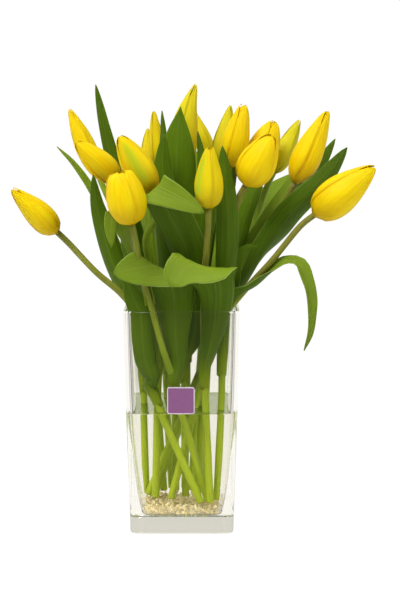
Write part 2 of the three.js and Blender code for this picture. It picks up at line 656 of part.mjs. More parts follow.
// Half of a leaf's width along it: a sheath round the stem, then the blade
function leafHalf(leaf, along) {
  const swell = Math.sin(Math.PI * along ** leaf.high) ** (leaf.taper ?? LEAF_TAPER);
  const sheath = SHEATH_WIDTH * (1 - along) ** SHEATH_FADE;
  return Math.max((leaf.width / 2) * swell + sheath, LEAF_TIP_HALF);
}

function makeLeaf(leaf, curve) {
  const outward = level(leaf.side);
  const starts = LEAF_ROOT.map(([rise, off]) => {
    const radius = STEM_RADIUS_FOOT - ROOT_DEPTH;
    return curve.getPointAt(shareAt(curve, leaf.base + rise)).addScaledVector(outward, radius + off);
  });
  const path = new THREE.CatmullRomCurve3([...starts, ...leaf.points.map(vector)], false, 'centripetal');
  const rows = [];
  const normal = outward.clone().negate();
  const count = leaf.rows ?? LEAF_ROWS;
  for (let row = 0; row <= count; row += 1) {
    const along = row / count;
    const middle = path.getPointAt(along);
    const tangent = path.getTangentAt(along);
    normal.addScaledVector(tangent, -normal.dot(tangent)).normalize();
    const inward = normal.clone();
    for (const face of leaf.faces ?? []) {
      const share = THREE.MathUtils.smoothstep(along, face.from, face.to);
      inward.lerp(vector(face.towards).normalize(), share);
    }
    inward.addScaledVector(tangent, -inward.dot(tangent)).normalize();
    const across = tangent.clone().cross(inward);
    const half = leafHalf(leaf, along);
    const snug = STEM_RADIUS_FOOT + SHEATH_GAP;
    const cup = snug * (leaf.cup / snug) ** Math.min(1, along * 1.6);
    const bend = Math.min(half / cup, WIDEST_CURL);
    const crease = leaf.crease * DEGREE * Math.sin(Math.PI * along);
    rows.push(Array.from({ length: LEAF_COLUMNS + 1 }, (unused, column) => {
      const share = (column / LEAF_COLUMNS) * 2 - 1;
      const sign = Math.sign(share);
      const angle = crease + bend * Math.abs(share);
      const aside = sign * (half / bend) * (Math.sin(angle) - Math.sin(crease));
      const rise = (half / bend) * (Math.cos(crease) - Math.cos(angle));
      const point = middle.clone().addScaledVector(across, aside).addScaledVector(inward, rise);
      const face = inward.clone().multiplyScalar(Math.cos(angle))
        .addScaledVector(across, -sign * Math.sin(angle)).normalize();
      return { point, normal: face };
    }));
  }
  if (leaf.fold) {
    for (const spot of rows.flat()) {
      const half = LEAF_THICKNESS / 2;
      const ahead = foldOver(spot.point.clone().addScaledVector(spot.normal, half), leaf.fold);
      const behind = foldOver(spot.point.clone().addScaledVector(spot.normal, -half), leaf.fold);
      spot.point = ahead.clone().lerp(behind, 0.5);
      spot.normal = ahead.sub(behind).normalize();
    }
  }
  return blade(rows, LEAF_THICKNESS);
}

// The whole bunch in its vase
const bunch = new THREE.Group();
const holes = [];
for (const [number, tulip] of Object.entries(TULIPS)) {
  const label = `tulip${number.padStart(2, '0')}`;
  const curve = stemCurve(tulip);
  let leafyStem = makeStem(curve, 0);
  for (const leaf of LEAVES.filter((entry) => entry.tulip === Number(number))) {
    leafyStem = leafyStem.add(makeLeaf(leaf, curve));
  }
  holes.push(makeStem(curve, TOUCH_GAP));
  bunch.add(meshOf(`${label}_stem`, leafyStem, leafGreen));
  bunch.add(meshOf(`${label}_bloom`, makeBloom(tulip), petalYellow));
}

// Water fills the vase round the stems, from the chips up to its level
function makeWater() {
  const levels = [STEM_FOOT, 42, 60, 80, WATER_LEVEL];
  const block = loft(levels.map((height) => {
    const corner = mix(INSIDE_CORNER, VASE_CORNER, height / VASE_HEIGHT);
    return roundedSquare(insideHalf(height) - TOUCH_GAP, corner, height);
  }));
  return holes.reduce((water, hole) => water.subtract(hole), block);
}

bunch.add(meshOf('vase', makeVase(), glass));
bunch.add(meshOf('water', makeWater(), waterLook));
bunch.add(meshOf('gravel', makeGravel(), marble));
bunch.add(meshOf('label', makeLabel(), labelLook));

export default bunch;
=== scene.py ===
import json
import math
import random

import bmesh
import bpy
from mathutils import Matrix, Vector, noise

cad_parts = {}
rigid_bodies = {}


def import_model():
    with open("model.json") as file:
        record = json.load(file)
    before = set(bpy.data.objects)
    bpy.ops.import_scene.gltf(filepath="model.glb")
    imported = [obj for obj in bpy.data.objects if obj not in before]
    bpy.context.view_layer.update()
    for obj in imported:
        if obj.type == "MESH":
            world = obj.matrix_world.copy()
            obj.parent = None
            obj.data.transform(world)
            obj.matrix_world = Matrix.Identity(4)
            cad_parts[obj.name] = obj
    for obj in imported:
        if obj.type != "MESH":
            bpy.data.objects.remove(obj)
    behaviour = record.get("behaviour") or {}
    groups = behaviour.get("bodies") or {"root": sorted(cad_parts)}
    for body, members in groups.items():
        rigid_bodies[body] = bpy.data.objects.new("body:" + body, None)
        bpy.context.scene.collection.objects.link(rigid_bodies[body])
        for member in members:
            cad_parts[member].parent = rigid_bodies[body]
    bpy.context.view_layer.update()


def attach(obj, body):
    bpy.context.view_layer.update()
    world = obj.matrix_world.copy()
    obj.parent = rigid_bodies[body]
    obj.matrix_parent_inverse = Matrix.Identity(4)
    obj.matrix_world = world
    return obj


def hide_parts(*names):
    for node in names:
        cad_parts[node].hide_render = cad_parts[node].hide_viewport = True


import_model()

MM = 0.001
BODY = "root"

# Camera: the place the photograph was taken from, in millimetres, and how far it looks down
CAMERA_PLACE = (16, -1200, 370)
CAMERA_DOWN = 7.93
CAMERA_LENS = 81.1

# Vase, water, chips and label
VASE_HEIGHT = 200
VASE_BASE_HALF = 45.5
VASE_RIM_HALF = 51.5
VASE_CORNER = 5
VASE_FLOOR = 15
VASE_INSIDE = [(35.5, 17), (38, 28), (40, 42), (42, 60), (43.6, 80), (45, 108), (47.3, 198)]
INSIDE_CORNER = 8
RIM_ROUND = 2
FOOT_ROUND = 3
CORNER_STEPS = 12
WATER_LEVEL = 108
WATER_OVERLAP = 0.15
MENISCUS = 1.4
MENISCUS_SPREAD = 2.2
FLOOR_ROUND = 4
ROUND_STEPS = 8
RIM_STEPS = 6
OUTSIDE_STEPS = 12
INSIDE_STEPS = 40
WATER_STEPS = 24
CHIP_BEDS = [(16.4, 31), (18, 32.4), (19.8, 33.4), (21.4, 34)]
CHIP_GAP = 3.6
CHIP_DENSITY = 400000.0
CHIP_SMALLEST = 2.7
CHIP_LARGEST = 3.9
CHIP_KINDS = 8
CHIP_CORNERS = 10
CHIP_SEED = 12
CHIP_FORM_SEED = 5
LABEL_SIZE = 24
LABEL_ROUND = 2.2
LABEL_THICKNESS = 0.6
LABEL_RIM = 0.9
LABEL_SINK = 0.12
LABEL_LEAST_ROUND = 0.6
LABEL_MIDDLE = (-0.6, 121.5)
TOUCH_GAP = 0.3

# Stems, leaves and petals
STEM_FOOT = 26.5
STEM_RADIUS_FOOT = 3.5
STEM_RADIUS_TOP = 2.8
STEM_SIDES = 18
STEM_THINNER = 0.95
STEM_UNEVEN = 0.05
STEM_STEP = 5
STEM_NECK = 14
WATER_BEND = 114
LEAF_COLUMNS = 12
LEAF_TAPER = 0.65
LEAF_TIP_HALF = 0.35
LEAF_WAVE = 1.3
LEAF_MOST_BEND = 1.9
ROOT_DEPTH = 0.3
SHEATH_HALF = 6.5
SHEATH_GAP = 0.6
LEAF_STEP = 4.5
LEAF_MIDDLE_THICKNESS = 1.0
LEAF_EDGE_THICKNESS = 0.45
PETAL_COLUMNS = 12
PETAL_BLUNTNESS = 8
PETAL_ROWS = 22
TULIP_SEED = 1000
PETAL_THICKNESS = 0.6
PETAL_SPREAD = 68
PETAL_TIP_HALF = 0.35
PETAL_LAP = 0.36
PETAL_RIDGE = 0.35
PETAL_WAVE = 0.5
INNER_BACK = 0.9
INNER_LEAST = 0.5
BLOOM_TIP_RADIUS = 0.6


def colour(red, green, blue):
    """A colour as a shader takes it, from the numbers 0 to 255 of a picture."""
    def straight(value):
        share = value / 255
        return share / 12.92 if share <= 0.04045 else ((share + 0.055) / 1.055) ** 2.4
    return (straight(red), straight(green), straight(blue), 1)


# Colours, as they look in even light, except the painted shade in the petals' foot and seam colours, in the
# glass foot's tint and in the water's top
LEAF_INNER = colour(126, 148, 34)
LEAF_OUTER = colour(76, 104, 0)
LEAF_LIGHT = colour(110, 140, 12)
LEAF_DEEP = colour(46, 80, 0)
LEAF_PALE = colour(176, 196, 110)
LEAF_BASE = colour(150, 176, 16)
STEM_LOW = colour(190, 212, 44)
STEM_HIGH = colour(128, 158, 20)
STEM_LIGHT = colour(190, 206, 60)
STEM_BLUSH = colour(134, 116, 52)
PETAL_YELLOW = colour(255, 222, 2)
PETAL_GOLD = colour(253, 206, 0)
# Painted shade: a deeper gold for the inner petals, which show in the seams between the outer ones
PETAL_SEAM_SHADE = colour(250, 196, 0)
# Painted shade: a darker gold that the petals take towards the foot of the bloom
PETAL_FOOT_SHADE = colour(214, 170, 0)
PETAL_GREEN = colour(176, 196, 32)
GLASS_TINT = (0.99, 0.97, 0.91, 1)
# Painted shade: the glass below the inner floor is tinted darker and yellower than the walls
FOOT_SHADE_TINT = (0.95, 0.925, 0.81, 1)
GLASS_PASSED = (0.975, 0.965, 0.94, 1)
WATER_TINT = (1, 1, 0.995, 1)
# Painted light: a dark green tint on the water's top that paints in the dark band at the water line
WATER_LINE_PAINTED_BAND = (0.2, 0.27, 0.11, 1)
MARBLE_PALE = colour(255, 244, 200)
MARBLE_WARM = colour(254, 240, 196)
MARBLE_VEIN = colour(240, 220, 160)
LABEL_PALE = colour(226, 210, 224)
LABEL_PURPLE = colour(147, 92, 140)

# Light and floor, in metres and watts
FLOOR_REACH = 30
FLOOR_DROP = 0.0002
FLOOR_DARK = (0.05, 0.05, 0.05, 1)
FLOOR_PALE = (0.85, 0.85, 0.85, 1)
WORLD_SEEN = 1.02
WORLD_FRONT = 0.08
WORLD_BACK = 0.5
MIRRORED_FRONT = 0.12
MIRRORED_BACK = 0.75
SLANT_NEAR = 0.17
SLANT_FAR = 0.6
CORNER_NEAR = 0.13
CORNER_FAR = 0.3
CORNER_LEVEL = 0.64
SHARP_BOUNCES = 2.5
GLASS_INDEX = 1.5
WATER_INDEX = 1.33
# Each lamp: its name, place, width and power
LAMPS = [
    ("key", (-0.6, -0.8, 1.75), 0.9, 34),
    ("fill", (1.2, -0.9, 0.9), 0.9, 7),
]
LAMPS_AIM = 0.22

# How green the paler blooms are, which petal has a green band and how green it is there, and how
# brown the stems turn near their blooms
GREENER = {8: 0.4, 9: 0.35, 10: 0.45, 15: 0.5, 6: 0.25, 7: 0.2, 12: 0.2, 4: 0.08}
STRIPED = {4: (2, 0.8), 12: (1, 0.7)}
BLUSH = {1: 0.6, 5: 0.5, 12: 0.6, 14: 0.7, 16: 0.8, 17: 0.7}


# The seventeen tulips and their leaves, as in the part's source. Each stem runs straight through
# the water, then through the listed points to the base of its bloom.
TULIPS = {
    1: dict(foot=(16.5, -31), water=(-21, -31),
           path=[(-39, -26, 168), (-41.5, -24, 195), (-53, -21, 211), (-75, -20, 230)],
           bloom=[(-109.3, -18, 265.5), (-145.9, -34, 304.1)],
           width=23, low=0.62, full=0.7, open=0.1, turn=20),
    2: dict(foot=(-17, 20), water=(-23, 20), path=[(-30, 20, 195), (-46, 26, 240)],
           bloom=[(-79.8, 38, 319.1), (-103, 40, 372.4)],
           width=18, low=0.62, full=0.7, open=0.1, turn=0),
    3: dict(foot=(-33, 10), water=(-35, 6), path=[(-37, 2, 195), (-47, 0, 245)],
           bloom=[(-56.5, -2, 310.2), (-92.1, -14, 343.8)],
           width=24, low=0.7, full=0.65, open=0.15, turn=40),
    4: dict(foot=(-24, -10), water=(-22, -10), path=[(-19, -10, 195), (-27, -22, 232), (-31, -30, 262)],
           bloom=[(-24.5, -34, 299.8), (-52.5, -44, 350)],
           width=27, low=0.72, full=0.66, open=0.12, turn=34),
    5: dict(foot=(23, -23), water=(-2, -31),
           path=[(-9, -38, 143), (-16, -42, 165), (-24.5, -43, 197), (-29.5, -45.5, 215),
                 (-35.5, -49.5, 238)],
           bloom=[(-41.5, -62, 276), (-51, -68, 321)],
           width=32.5, low=0.85, full=0.42, open=0.2, turn=112, blunt=18),
    6: dict(foot=(-10, 31), water=(-15, 33), path=[(-20, 35, 195), (-27, 48, 245)],
           bloom=[(-33.3, 62, 305.1), (-33.1, 74, 354.9)],
           width=13, low=0.62, full=0.7, open=0.1, turn=0),
    7: dict(foot=(-6, 21), water=(-7, 21), path=[(-8, 21, 195), (-14, 32, 250)],
           bloom=[(-21.7, 48, 318.7), (-26.3, 54, 370.6)],
           width=14, low=0.62, full=0.7, open=0.1, turn=50),
    8: dict(foot=(3, -6), water=(2, -6), path=[(2, 0, 195), (3, 10, 250)],
           bloom=[(6.5, 26, 322), (12, 30, 394.6)],
           width=22, low=0.8, full=0.85, open=0.05, turn=75, bow=(-6.7, 0, 0)),
    9: dict(foot=(2, 30), water=(4, 33), path=[(6, 36, 195), (17, 50, 250)],
           bloom=[(27.2, 66, 318), (11, 76, 369.5)],
           width=16, low=0.6, full=0.7, open=0.1, turn=0),
    10: dict(foot=(8, 22), water=(14, 24), path=[(20, 26, 195), (26, 33, 250)],
           bloom=[(33.4, 44, 321.6), (43.9, 50, 376.1)],
           width=18, low=0.6, full=0.75, open=0.1, turn=0),
    11: dict(foot=(14, -4.5), water=(18, -4), path=[(23, -3, 195), (31, 2, 250)],
           bloom=[(42.3, 8, 321.2), (55.2, 4, 376.7)],
           width=23, low=0.68, full=0.65, open=0.2, turn=60),
    12: dict(foot=(25, -32), water=(21, -31), path=[(19, -32, 195), (19.5, -42, 225)],
           bloom=[(23.2, -58, 289.4), (23.9, -64, 340.8)],
           width=24, low=0.62, full=0.7, open=0.2, turn=100, blunt=14),
    13: dict(foot=(18, 31), water=(22, 34), path=[(27, 37, 195), (45, 30, 250)],
           bloom=[(62, 18, 312.5), (83, 22, 362)],
           width=29, low=0.75, full=0.6, open=0.1, turn=80),
    14: dict(foot=(-10, -16), water=(13, -13.5), path=[(36, -11, 195), (43, -20, 250)],
           bloom=[(55.4, -36, 307.6), (77.6, -50, 350.5)],
           width=32, low=0.72, full=0.6, open=0.12, turn=15),
    15: dict(foot=(-25, 11), water=(8, 14.5), path=[(38, 18, 195), (57, 27, 245)],
           bloom=[(83.6, 40, 315.4), (107.5, 54, 362.4)],
           width=18, low=0.6, full=0.75, open=0.1, turn=0),
    16: dict(foot=(-31, 2), water=(6, 3.5), path=[(40, 5, 195), (61, 2, 240)],
           bloom=[(99.6, -6, 308.2), (127, -12, 370.6)],
           width=26, low=0.66, full=0.75, open=0.08, turn=80),
    17: dict(foot=(31, -20), water=(35, -21), path=[(39.5, -23, 193), (51, -25.5, 210), (78, -31, 241)],
           bloom=[(114.3, -38, 282), (164.4, -52, 323.7)],
           width=33, low=0.66, full=0.7, open=0.1, turn=25),
}

# Each leaf leaves its stem at the height base, towards side in degrees, and runs through its points.
# faces turns its hollow side towards a direction between two shares of its length.
# The root is heights above that base, and how far it stands off the stem there.
LEAF_ROOT = [(0, -1), (9, 0.4), (24, 2)]
LEAVES = [
    dict(tulip=1, base=112, side=-110, width=23, cup=34, crease=8, high=1.2,
         points=[(-26, -38, 136), (-32, -40, 157), (-34.6, -41, 178), (-35.8, -41, 197),
                 (-42.5, -45.5, 213), (-48, -50, 231)],
         faces=[(0.1, 0.35, (0, 1, 0))]),
    dict(tulip=3, base=116, side=-110, width=24, cup=24, crease=18, high=0.95,
         points=[(-34, -6, 150), (-34, -8, 175), (-35.6, -9, 197), (-48.7, -12, 213), (-60, -11, 236),
                 (-69, -14, 266), (-74.5, -19, 292), (-76.5, -26, 316)],
         faces=[(0.1, 0.4, (0.2, 1, 0))]),
    dict(tulip=4, base=140, side=-160, width=24, cup=30, crease=14, high=1.2,
         points=[(-27, -17, 180), (-33, -21, 214), (-40, -23, 236), (-46, -24, 256), (-52, -24, 281)],
         faces=[(0.2, 0.5, (0.3, 1, 0))]),
    dict(tulip=2, base=135, side=-60, width=15, cup=24, crease=22, high=1.5,
         points=[(-24, 14, 190), (-33, 16, 232), (-45, 17, 273), (-55, 17, 305), (-64, 17, 332),
                 (-72, 18, 368), (-77, 20, 394)],
         faces=[(0.2, 0.5, (0.2, 1, 0.1))]),
    dict(tulip=2, base=160, side=150, width=8.5, cup=20, crease=15, high=1.3,
         points=[(-39, 26, 198), (-52, 29, 230), (-67, 32, 265), (-80, 37, 294), (-99, 44, 322),
                 (-116, 56, 338)],
         faces=[(0.2, 0.5, (0.3, -1, 0.4))]),
    dict(tulip=5, base=205, side=70, width=15, cup=30, crease=10, high=1.5,
         points=[(-35, -37, 230), (-42, -41, 252), (-51, -46, 274), (-57, -51, 285), (-60, -56, 276),
                 (-59, -57, 256)],
         faces=[(0.45, 0.72, (0.2, -1, 0.2))]),
    dict(tulip=5, base=114, side=-70, width=42, cup=40, crease=4, high=1.9,
         points=[(-3, -38, 150), (-5, -40, 174), (-6, -41, 198), (-7, -42.5, 215), (-13, -47, 233),
                 (-20, -55, 252), (-27.5, -59, 282)],
         faces=[(0.1, 0.3, (0, 1, 0))],
         fold=dict(start=(13.4, -43.5, 215.5), end=(-36, -51, 247), round=4, angle=160)),
    dict(tulip=12, base=128, side=-75, width=38, cup=40, crease=6, high=2.2, taper=0.45,
         points=[(24, -41, 165), (28.5, -43.5, 190), (30, -48, 210), (28.5, -54, 224),
                 (21.5, -59, 239), (12, -60, 250), (9, -59, 262), (12, -59, 276)],
         faces=[(0.1, 0.3, (0, 1, 0))],
         fold=dict(start=(29.7, -60, 231.5), end=(-10.5, -60, 247.5), round=4, angle=160)),
    dict(tulip=8, base=128, side=-90, width=36, cup=40, crease=8, high=1.3,
         points=[(7, -15, 162), (12, -18, 182), (12, -22, 202), (9, -29, 226), (5, -37, 250),
                 (-5, -46, 274), (-19.5, -52, 301), (-36, -57, 327), (-52, -61, 347)],
         fold=dict(start=(-30, -51, 289.6), end=(-11, -55, 312.7), round=4, angle=160)),
    dict(tulip=8, base=150, side=-100, width=37, cup=34, crease=12, high=2.2, taper=1.1,
         points=[(-1, -3.5, 215), (-3, 0.5, 250), (-5, 2, 292), (-5, 2, 323), (-3.5, 3, 350),
                 (-1, 5, 374.5)]),
    dict(tulip=4, base=135, side=20, width=26, cup=26, crease=14, high=1.3,
         points=[(-10.5, -9.5, 200), (-12, -12, 225), (-12, -13, 249), (-14, -13.5, 284),
                 (-17, -13, 319), (-15, -13, 351)],
         faces=[(0.2, 0.5, (0.15, 1, 0))]),
    dict(tulip=7, base=150, side=-120, width=13, cup=20, crease=14, high=1.3,
         points=[(-14, 14, 205), (-17, 16, 256), (-20, 17, 310), (-17, 19, 345), (-18, 22, 371)]),
    dict(tulip=12, base=150, side=10, width=22, cup=24, crease=10, high=1.3,
         points=[(30, -33, 185), (33, -36, 200), (38, -40, 226), (40, -42, 252), (40, -44, 282),
                 (38, -42, 312), (35, -38, 341)],
         faces=[(0.15, 0.4, (-0.2, 1, 0))]),
    dict(tulip=11, base=150, side=180, width=18, cup=22, crease=16, high=0.85,
         points=[(14, -5, 185), (13.5, -6, 205), (14, -6, 225), (16, -5, 250), (18, -4, 292),
                 (18, -2, 323), (14, 2, 353)],
         faces=[(0.1, 0.4, (0.3, 1, 0))]),
    dict(tulip=14, base=140, side=-20, width=27, cup=30, crease=14, high=1.35,
         points=[(42, -12, 190), (48, -12, 206), (59, -13, 223), (74, -15, 250), (92, -17, 277),
                 (107, -18, 294), (125, -15, 312), (145, -8, 339)],
         faces=[(0.38, 0.62, (-0.2, 1, 0.2))]),
    dict(tulip=14, base=165, side=-100, width=14, cup=24, crease=8, high=1.1,
         points=[(41, -19, 205), (44.5, -24, 225), (48, -26, 242), (56, -27, 252), (66, -28, 254)]),
    dict(tulip=15, base=150, side=-20, width=20, cup=24, crease=14, high=1.4,
         points=[(45, 17, 198), (53, 19, 213), (70, 19, 240), (93, 17, 273), (113, 16, 304),
                 (137, 18, 346)],
         faces=[(0.38, 0.62, (-0.2, 1, 0.2))]),
    dict(tulip=16, base=165, side=110, width=19, cup=30, crease=12, high=1.3,
         points=[(37, 11, 204), (47, 11, 224), (60, 10, 246), (73, 9, 267), (86, 8, 288),
                 (106, 12, 322)],
         faces=[(0.3, 0.55, (-0.2, -1, 0.2))]),
    dict(tulip=11, base=160, side=0, width=16, cup=24, crease=12, high=1.3,
         points=[(33, -3, 200), (41, -4, 222), (49, -6, 250), (55, -6, 275), (64, -5, 300),
                 (76, 0, 338)],
         faces=[(0.3, 0.55, (-0.1, 1, 0.2))]),
    dict(tulip=6, base=150, side=110, width=26, cup=34, crease=12, high=1.2,
         points=[(-22, 43, 195), (-30, 58, 235), (-42, 78, 275), (-54, 92, 305), (-66, 100, 335)]),
    dict(tulip=6, base=165, side=180, width=20, cup=30, crease=12, high=1.2,
         points=[(-30, 38, 205), (-41, 45, 235), (-57, 56, 270), (-72, 66, 298), (-86, 76, 322)]),
    dict(tulip=9, base=140, side=80, width=28, cup=34, crease=12, high=1.2,
         points=[(8, 43.5, 190), (10, 52, 215), (12, 72, 262), (10, 86, 305), (4, 94, 350)]),
    dict(tulip=9, base=165, side=40, width=18, cup=30, crease=12, high=1.3,
         points=[(14, 41, 205), (20, 56, 240), (31, 72, 285), (38, 84, 330)]),
    dict(tulip=10, base=165, side=-60, width=15, cup=30, crease=12, high=1.4,
         points=[(25, 18, 200), (31, 18, 235), (38, 24, 275), (44, 28, 305), (50, 30, 335)]),
    dict(tulip=13, base=150, side=60, width=26, cup=34, crease=12, high=1.2,
         points=[(33, 43, 196), (44, 53, 225), (60, 68, 262), (80, 80, 292), (104, 86, 312)]),
    dict(tulip=7, base=165, side=100, width=18, cup=30, crease=12, high=1.3,
         points=[(-11, 30, 205), (-17, 44, 245), (-14, 62, 290), (-10, 78, 325)]),
    dict(tulip=3, base=165, side=110, width=16, cup=30, crease=12, high=1.3,
         points=[(-42, 9, 200), (-50, 10, 215), (-60, 9, 240), (-68, 8, 262), (-75, 6, 290)]),
    dict(tulip=15, base=175, side=80, width=20, cup=30, crease=12, high=1.3,
         points=[(44, 28, 211), (56, 38, 232), (76, 54, 262), (98, 68, 284), (120, 78, 290)]),
    dict(tulip=17, base=138, side=-75, width=17, cup=20, crease=10, high=1,
         points=[(37.5, -28.5, 182), (38.5, -29.5, 199), (44.5, -30, 208), (65, -32, 220),
                 (79, -34, 233), (90, -36, 240.5), (101, -38, 240), (108, -40, 226), (112, -42, 209),
                 (112.5, -44, 194), (111, -46, 179), (106, -47, 165)],
         faces=[(0.3, 0.42, (-0.5, 0.1, 0.8)), (0.45, 0.58, (0, -0.4, 1)), (0.6, 0.75, (0.6, -0.8, 0.2))]),
]


# Curves

class Path:
    """A smooth curve through points, the same as the part's own, walked by its length."""

    DIVISIONS = 200

    def __init__(self, points):
        self.points = [Vector(point) for point in points]
        self.lengths = [0.0]
        before = self.spot(0)
        for step in range(1, self.DIVISIONS + 1):
            here = self.spot(step / self.DIVISIONS)
            self.lengths.append(self.lengths[-1] + (here - before).length)
            before = here
        self.length = self.lengths[-1]

    def spot(self, share):
        """The point at a share of the way through the list, with centripetal spacing."""
        points = self.points
        place = share * (len(points) - 1)
        index = min(int(place), len(points) - 2)
        part = place - index
        start, end = points[index], points[index + 1]
        before = points[index - 1] if index > 0 else 2 * start - end
        after = points[index + 2] if index + 2 < len(points) else 2 * end - start
        gap_before = math.sqrt((start - before).length)
        gap = math.sqrt((end - start).length)
        gap_after = math.sqrt((after - end).length)
        leave = (start - before) / gap_before - (end - before) / (gap_before + gap) + (end - start) / gap
        arrive = (end - start) / gap - (after - start) / (gap + gap_after) + (after - end) / gap_after
        leave, arrive = leave * gap, arrive * gap
        square, cube = part * part, part * part * part
        return (start * (2 * cube - 3 * square + 1) + leave * (cube - 2 * square + part)
                + end * (3 * square - 2 * cube) + arrive * (cube - square))

    def listed(self, share):
        """Turns a share of the length into a share of the list."""
        target = share * self.length
        low, high = 0, self.DIVISIONS
        while high - low > 1:
            middle = (low + high) // 2
            if self.lengths[middle] <= target:
                low = middle
            else:
                high = middle
        span = self.lengths[low + 1] - self.lengths[low]
        return (low + (target - self.lengths[low]) / max(span, 1e-9)) / self.DIVISIONS

    def at(self, share):
        return self.spot(min(max(self.listed(share), 0), 1))

    def direction(self, share):
        place = self.listed(share)
        ahead = self.spot(min(place + 0.0001, 1))
        behind = self.spot(max(place - 0.0001, 0))
        return (ahead - behind).normalized()

    def share_at(self, height):
        low, high = 0.0, 1.0
        for _ in range(24):
            middle = (low + high) / 2
            if self.at(middle).z < height:
                low = middle
            else:
                high = middle
        return low


def mix(a, b, share):
    return a + (b - a) * share


def smooth(low, high, value):
    share = min(max((value - low) / (high - low), 0), 1)
    return share * share * (3 - 2 * share)


def radians_of(degrees):
    return degrees * math.pi / 180


def stem_path(tulip):
    base, tip = (Vector(point) for point in tulip["bloom"])
    axis = (tip - base).normalized()
    foot = Vector((*tulip["foot"], STEM_FOOT))
    bend = Vector((*tulip["water"], WATER_BEND))
    inner = [Vector(point) for point in tulip["path"]]
    return Path([foot, foot.lerp(bend, 0.5), bend, *inner, base - axis * STEM_NECK, base - axis * TOUCH_GAP])


# Meshes

def show(name, data):
    """A new object of the scene for a mesh, a lamp or a camera."""
    thing = bpy.data.objects.new(name, data)
    bpy.context.scene.collection.objects.link(thing)
    return thing


class Shell:
    """Collects points, faces and what the materials read, then becomes one object."""

    def __init__(self):
        self.points = []
        self.faces = []
        self.maps = []
        self.slots = []
        self.smooth = []
        self.values = {}

    def add(self, points, faces, maps, slot=0, flat=0, **values):
        """maps has a pair and each of values a number for each point. The last faces, flat of them,
        are shaded flat.
        """
        start = len(self.points)
        self.points += points
        self.faces += [tuple(start + index for index in face) for face in faces]
        self.maps += maps
        self.slots += [slot] * len(faces)
        self.smooth += [True] * (len(faces) - flat) + [False] * flat
        for name, numbers in values.items():
            self.values.setdefault(name, {})[start] = numbers

    def build(self, name, materials):
        mesh = bpy.data.meshes.new(name)
        mesh.from_pydata([point * MM for point in self.points], [], self.faces)
        mesh.validate()
        layer = mesh.uv_layers.new(name="run")
        for loop in mesh.loops:
            layer.data[loop.index].uv = self.maps[loop.vertex_index]
        for key, parts in self.values.items():
            attribute = mesh.attributes.new(key, "FLOAT", "POINT")
            numbers = [0.0] * len(self.points)
            for start, given in parts.items():
                numbers[start:start + len(given)] = given
            attribute.data.foreach_set("value", numbers)
        for material in materials:
            mesh.materials.append(material)
        mesh.polygons.foreach_set("material_index", self.slots)
        mesh.polygons.foreach_set("use_smooth", self.smooth)
        return show(name, mesh)


def dress(piece, slot, *nodes):
    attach(piece, BODY)
    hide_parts(*nodes)


def ring_faces(rings, sides):
    """Outward faces over rings of equal length that run round the way they climb."""
    faces = []
    for row in range(rings - 1):
        for side in range(sides):
            here = row * sides + side
            across = row * sides + (side + 1) % sides
            faces.append((here, across, across + sides, here + sides))
    return faces


def end_faces(count, sides):
    """The two faces that close rings of count points in all."""
    return [tuple(range(sides))[::-1], tuple(range(count - sides, count))]


def closed_blade(shell, rows, thickness_of, slot=0, **values):
    """A thin closed blade over a grid of (point, normal, u, v). thickness_of takes u and v."""
    columns = len(rows[0])
    count = len(rows) * columns
    points = []
    maps = []
    for side in (0.5, -0.5):
        for row in rows:
            for point, normal, u, v in row:
                points.append(point + normal * (side * thickness_of(u, v)))
                maps.append((u, v))
    faces = []
    for row in range(len(rows) - 1):
        for column in range(columns - 1):
            a = row * columns + column
            b, c, d = a + 1, a + 1 + columns, a + columns
            faces.append((a, b, c, d))
            faces.append((a + count, d + count, c + count, b + count))
    edge = list(range(columns - 1))
    edge += [row * columns + columns - 1 for row in range(len(rows) - 1)]
    edge += [(len(rows) - 1) * columns + column for column in range(columns - 1, 0, -1)]
    edge += [row * columns for row in range(len(rows) - 1, 0, -1)]
    for index, start in enumerate(edge):
        end = edge[(index + 1) % len(edge)]
        faces.append((start + count, end + count, end, start))
    doubled = {name: numbers * 2 for name, numbers in values.items()}
    doubled["hollow"] = [1.0] * count + [0.0] * count
    shell.add(points, faces, maps, slot, len(edge), **doubled)


# Leafy stems

def add_stem(shell, number, path, draw):
    """A round stem, a little uneven, with a flat cut foot."""
    bend = path.share_at(WATER_BEND)
    places = [0.0, 0.004]
    places += [bend * step / 10 for step in range(1, 10)]
    steps = int((1 - bend) * path.length / STEM_STEP)
    places += [mix(bend, 1, step / steps) for step in range(steps + 1)]
    normal = Vector((1, 0, 0))
    phase = draw.uniform(0, 50)
    points = []
    maps = []
    for index, place in enumerate(places):
        tangent = path.direction(place)
        normal = (normal - tangent * normal.dot(tangent)).normalized()
        across = tangent.cross(normal)
        wander = 1 + STEM_UNEVEN * noise.noise(Vector((phase, place * 9, 0)))
        radius = mix(STEM_RADIUS_FOOT, STEM_RADIUS_TOP, place) * STEM_THINNER * wander
        if index == 0:
            radius *= 0.9
        middle = path.at(place)
        for side in range(STEM_SIDES):
            angle = side / STEM_SIDES * math.tau
            points.append(middle + (normal * math.cos(angle) + across * math.sin(angle)) * radius)
            maps.append((abs(side / STEM_SIDES * 2 - 1), place))
    faces = ring_faces(len(places), STEM_SIDES) + end_faces(len(points), STEM_SIDES)
    shell.add(points, faces, maps, 1, 2, blush=[BLUSH.get(number, 0)] * len(points))


def fold_over(point, fold):
    """Turns everything past a line in an upright plane over towards the front, round a roll."""
    start = Vector(fold["start"])
    line = (Vector(fold["end"]) - start).normalized()
    front = Vector((0, -1, 0))
    front = (front - line * front.dot(line)).normalized()
    beyond = front.cross(line).normalized()
    if beyond.z < 0:
        beyond.negate()
    offset = point - start
    past = offset.dot(beyond)
    if past <= 0:
        return point
    proud = offset.dot(front)
    roll = fold["round"]
    angle = min(past / roll, radians_of(fold["angle"]))
    rest = past - angle * roll
    reach = (roll - proud) * math.sin(angle) + rest * math.cos(angle)
    rise = roll - (roll - proud) * math.cos(angle) + rest * math.sin(angle)
    return start + line * offset.dot(line) + beyond * reach + front * rise


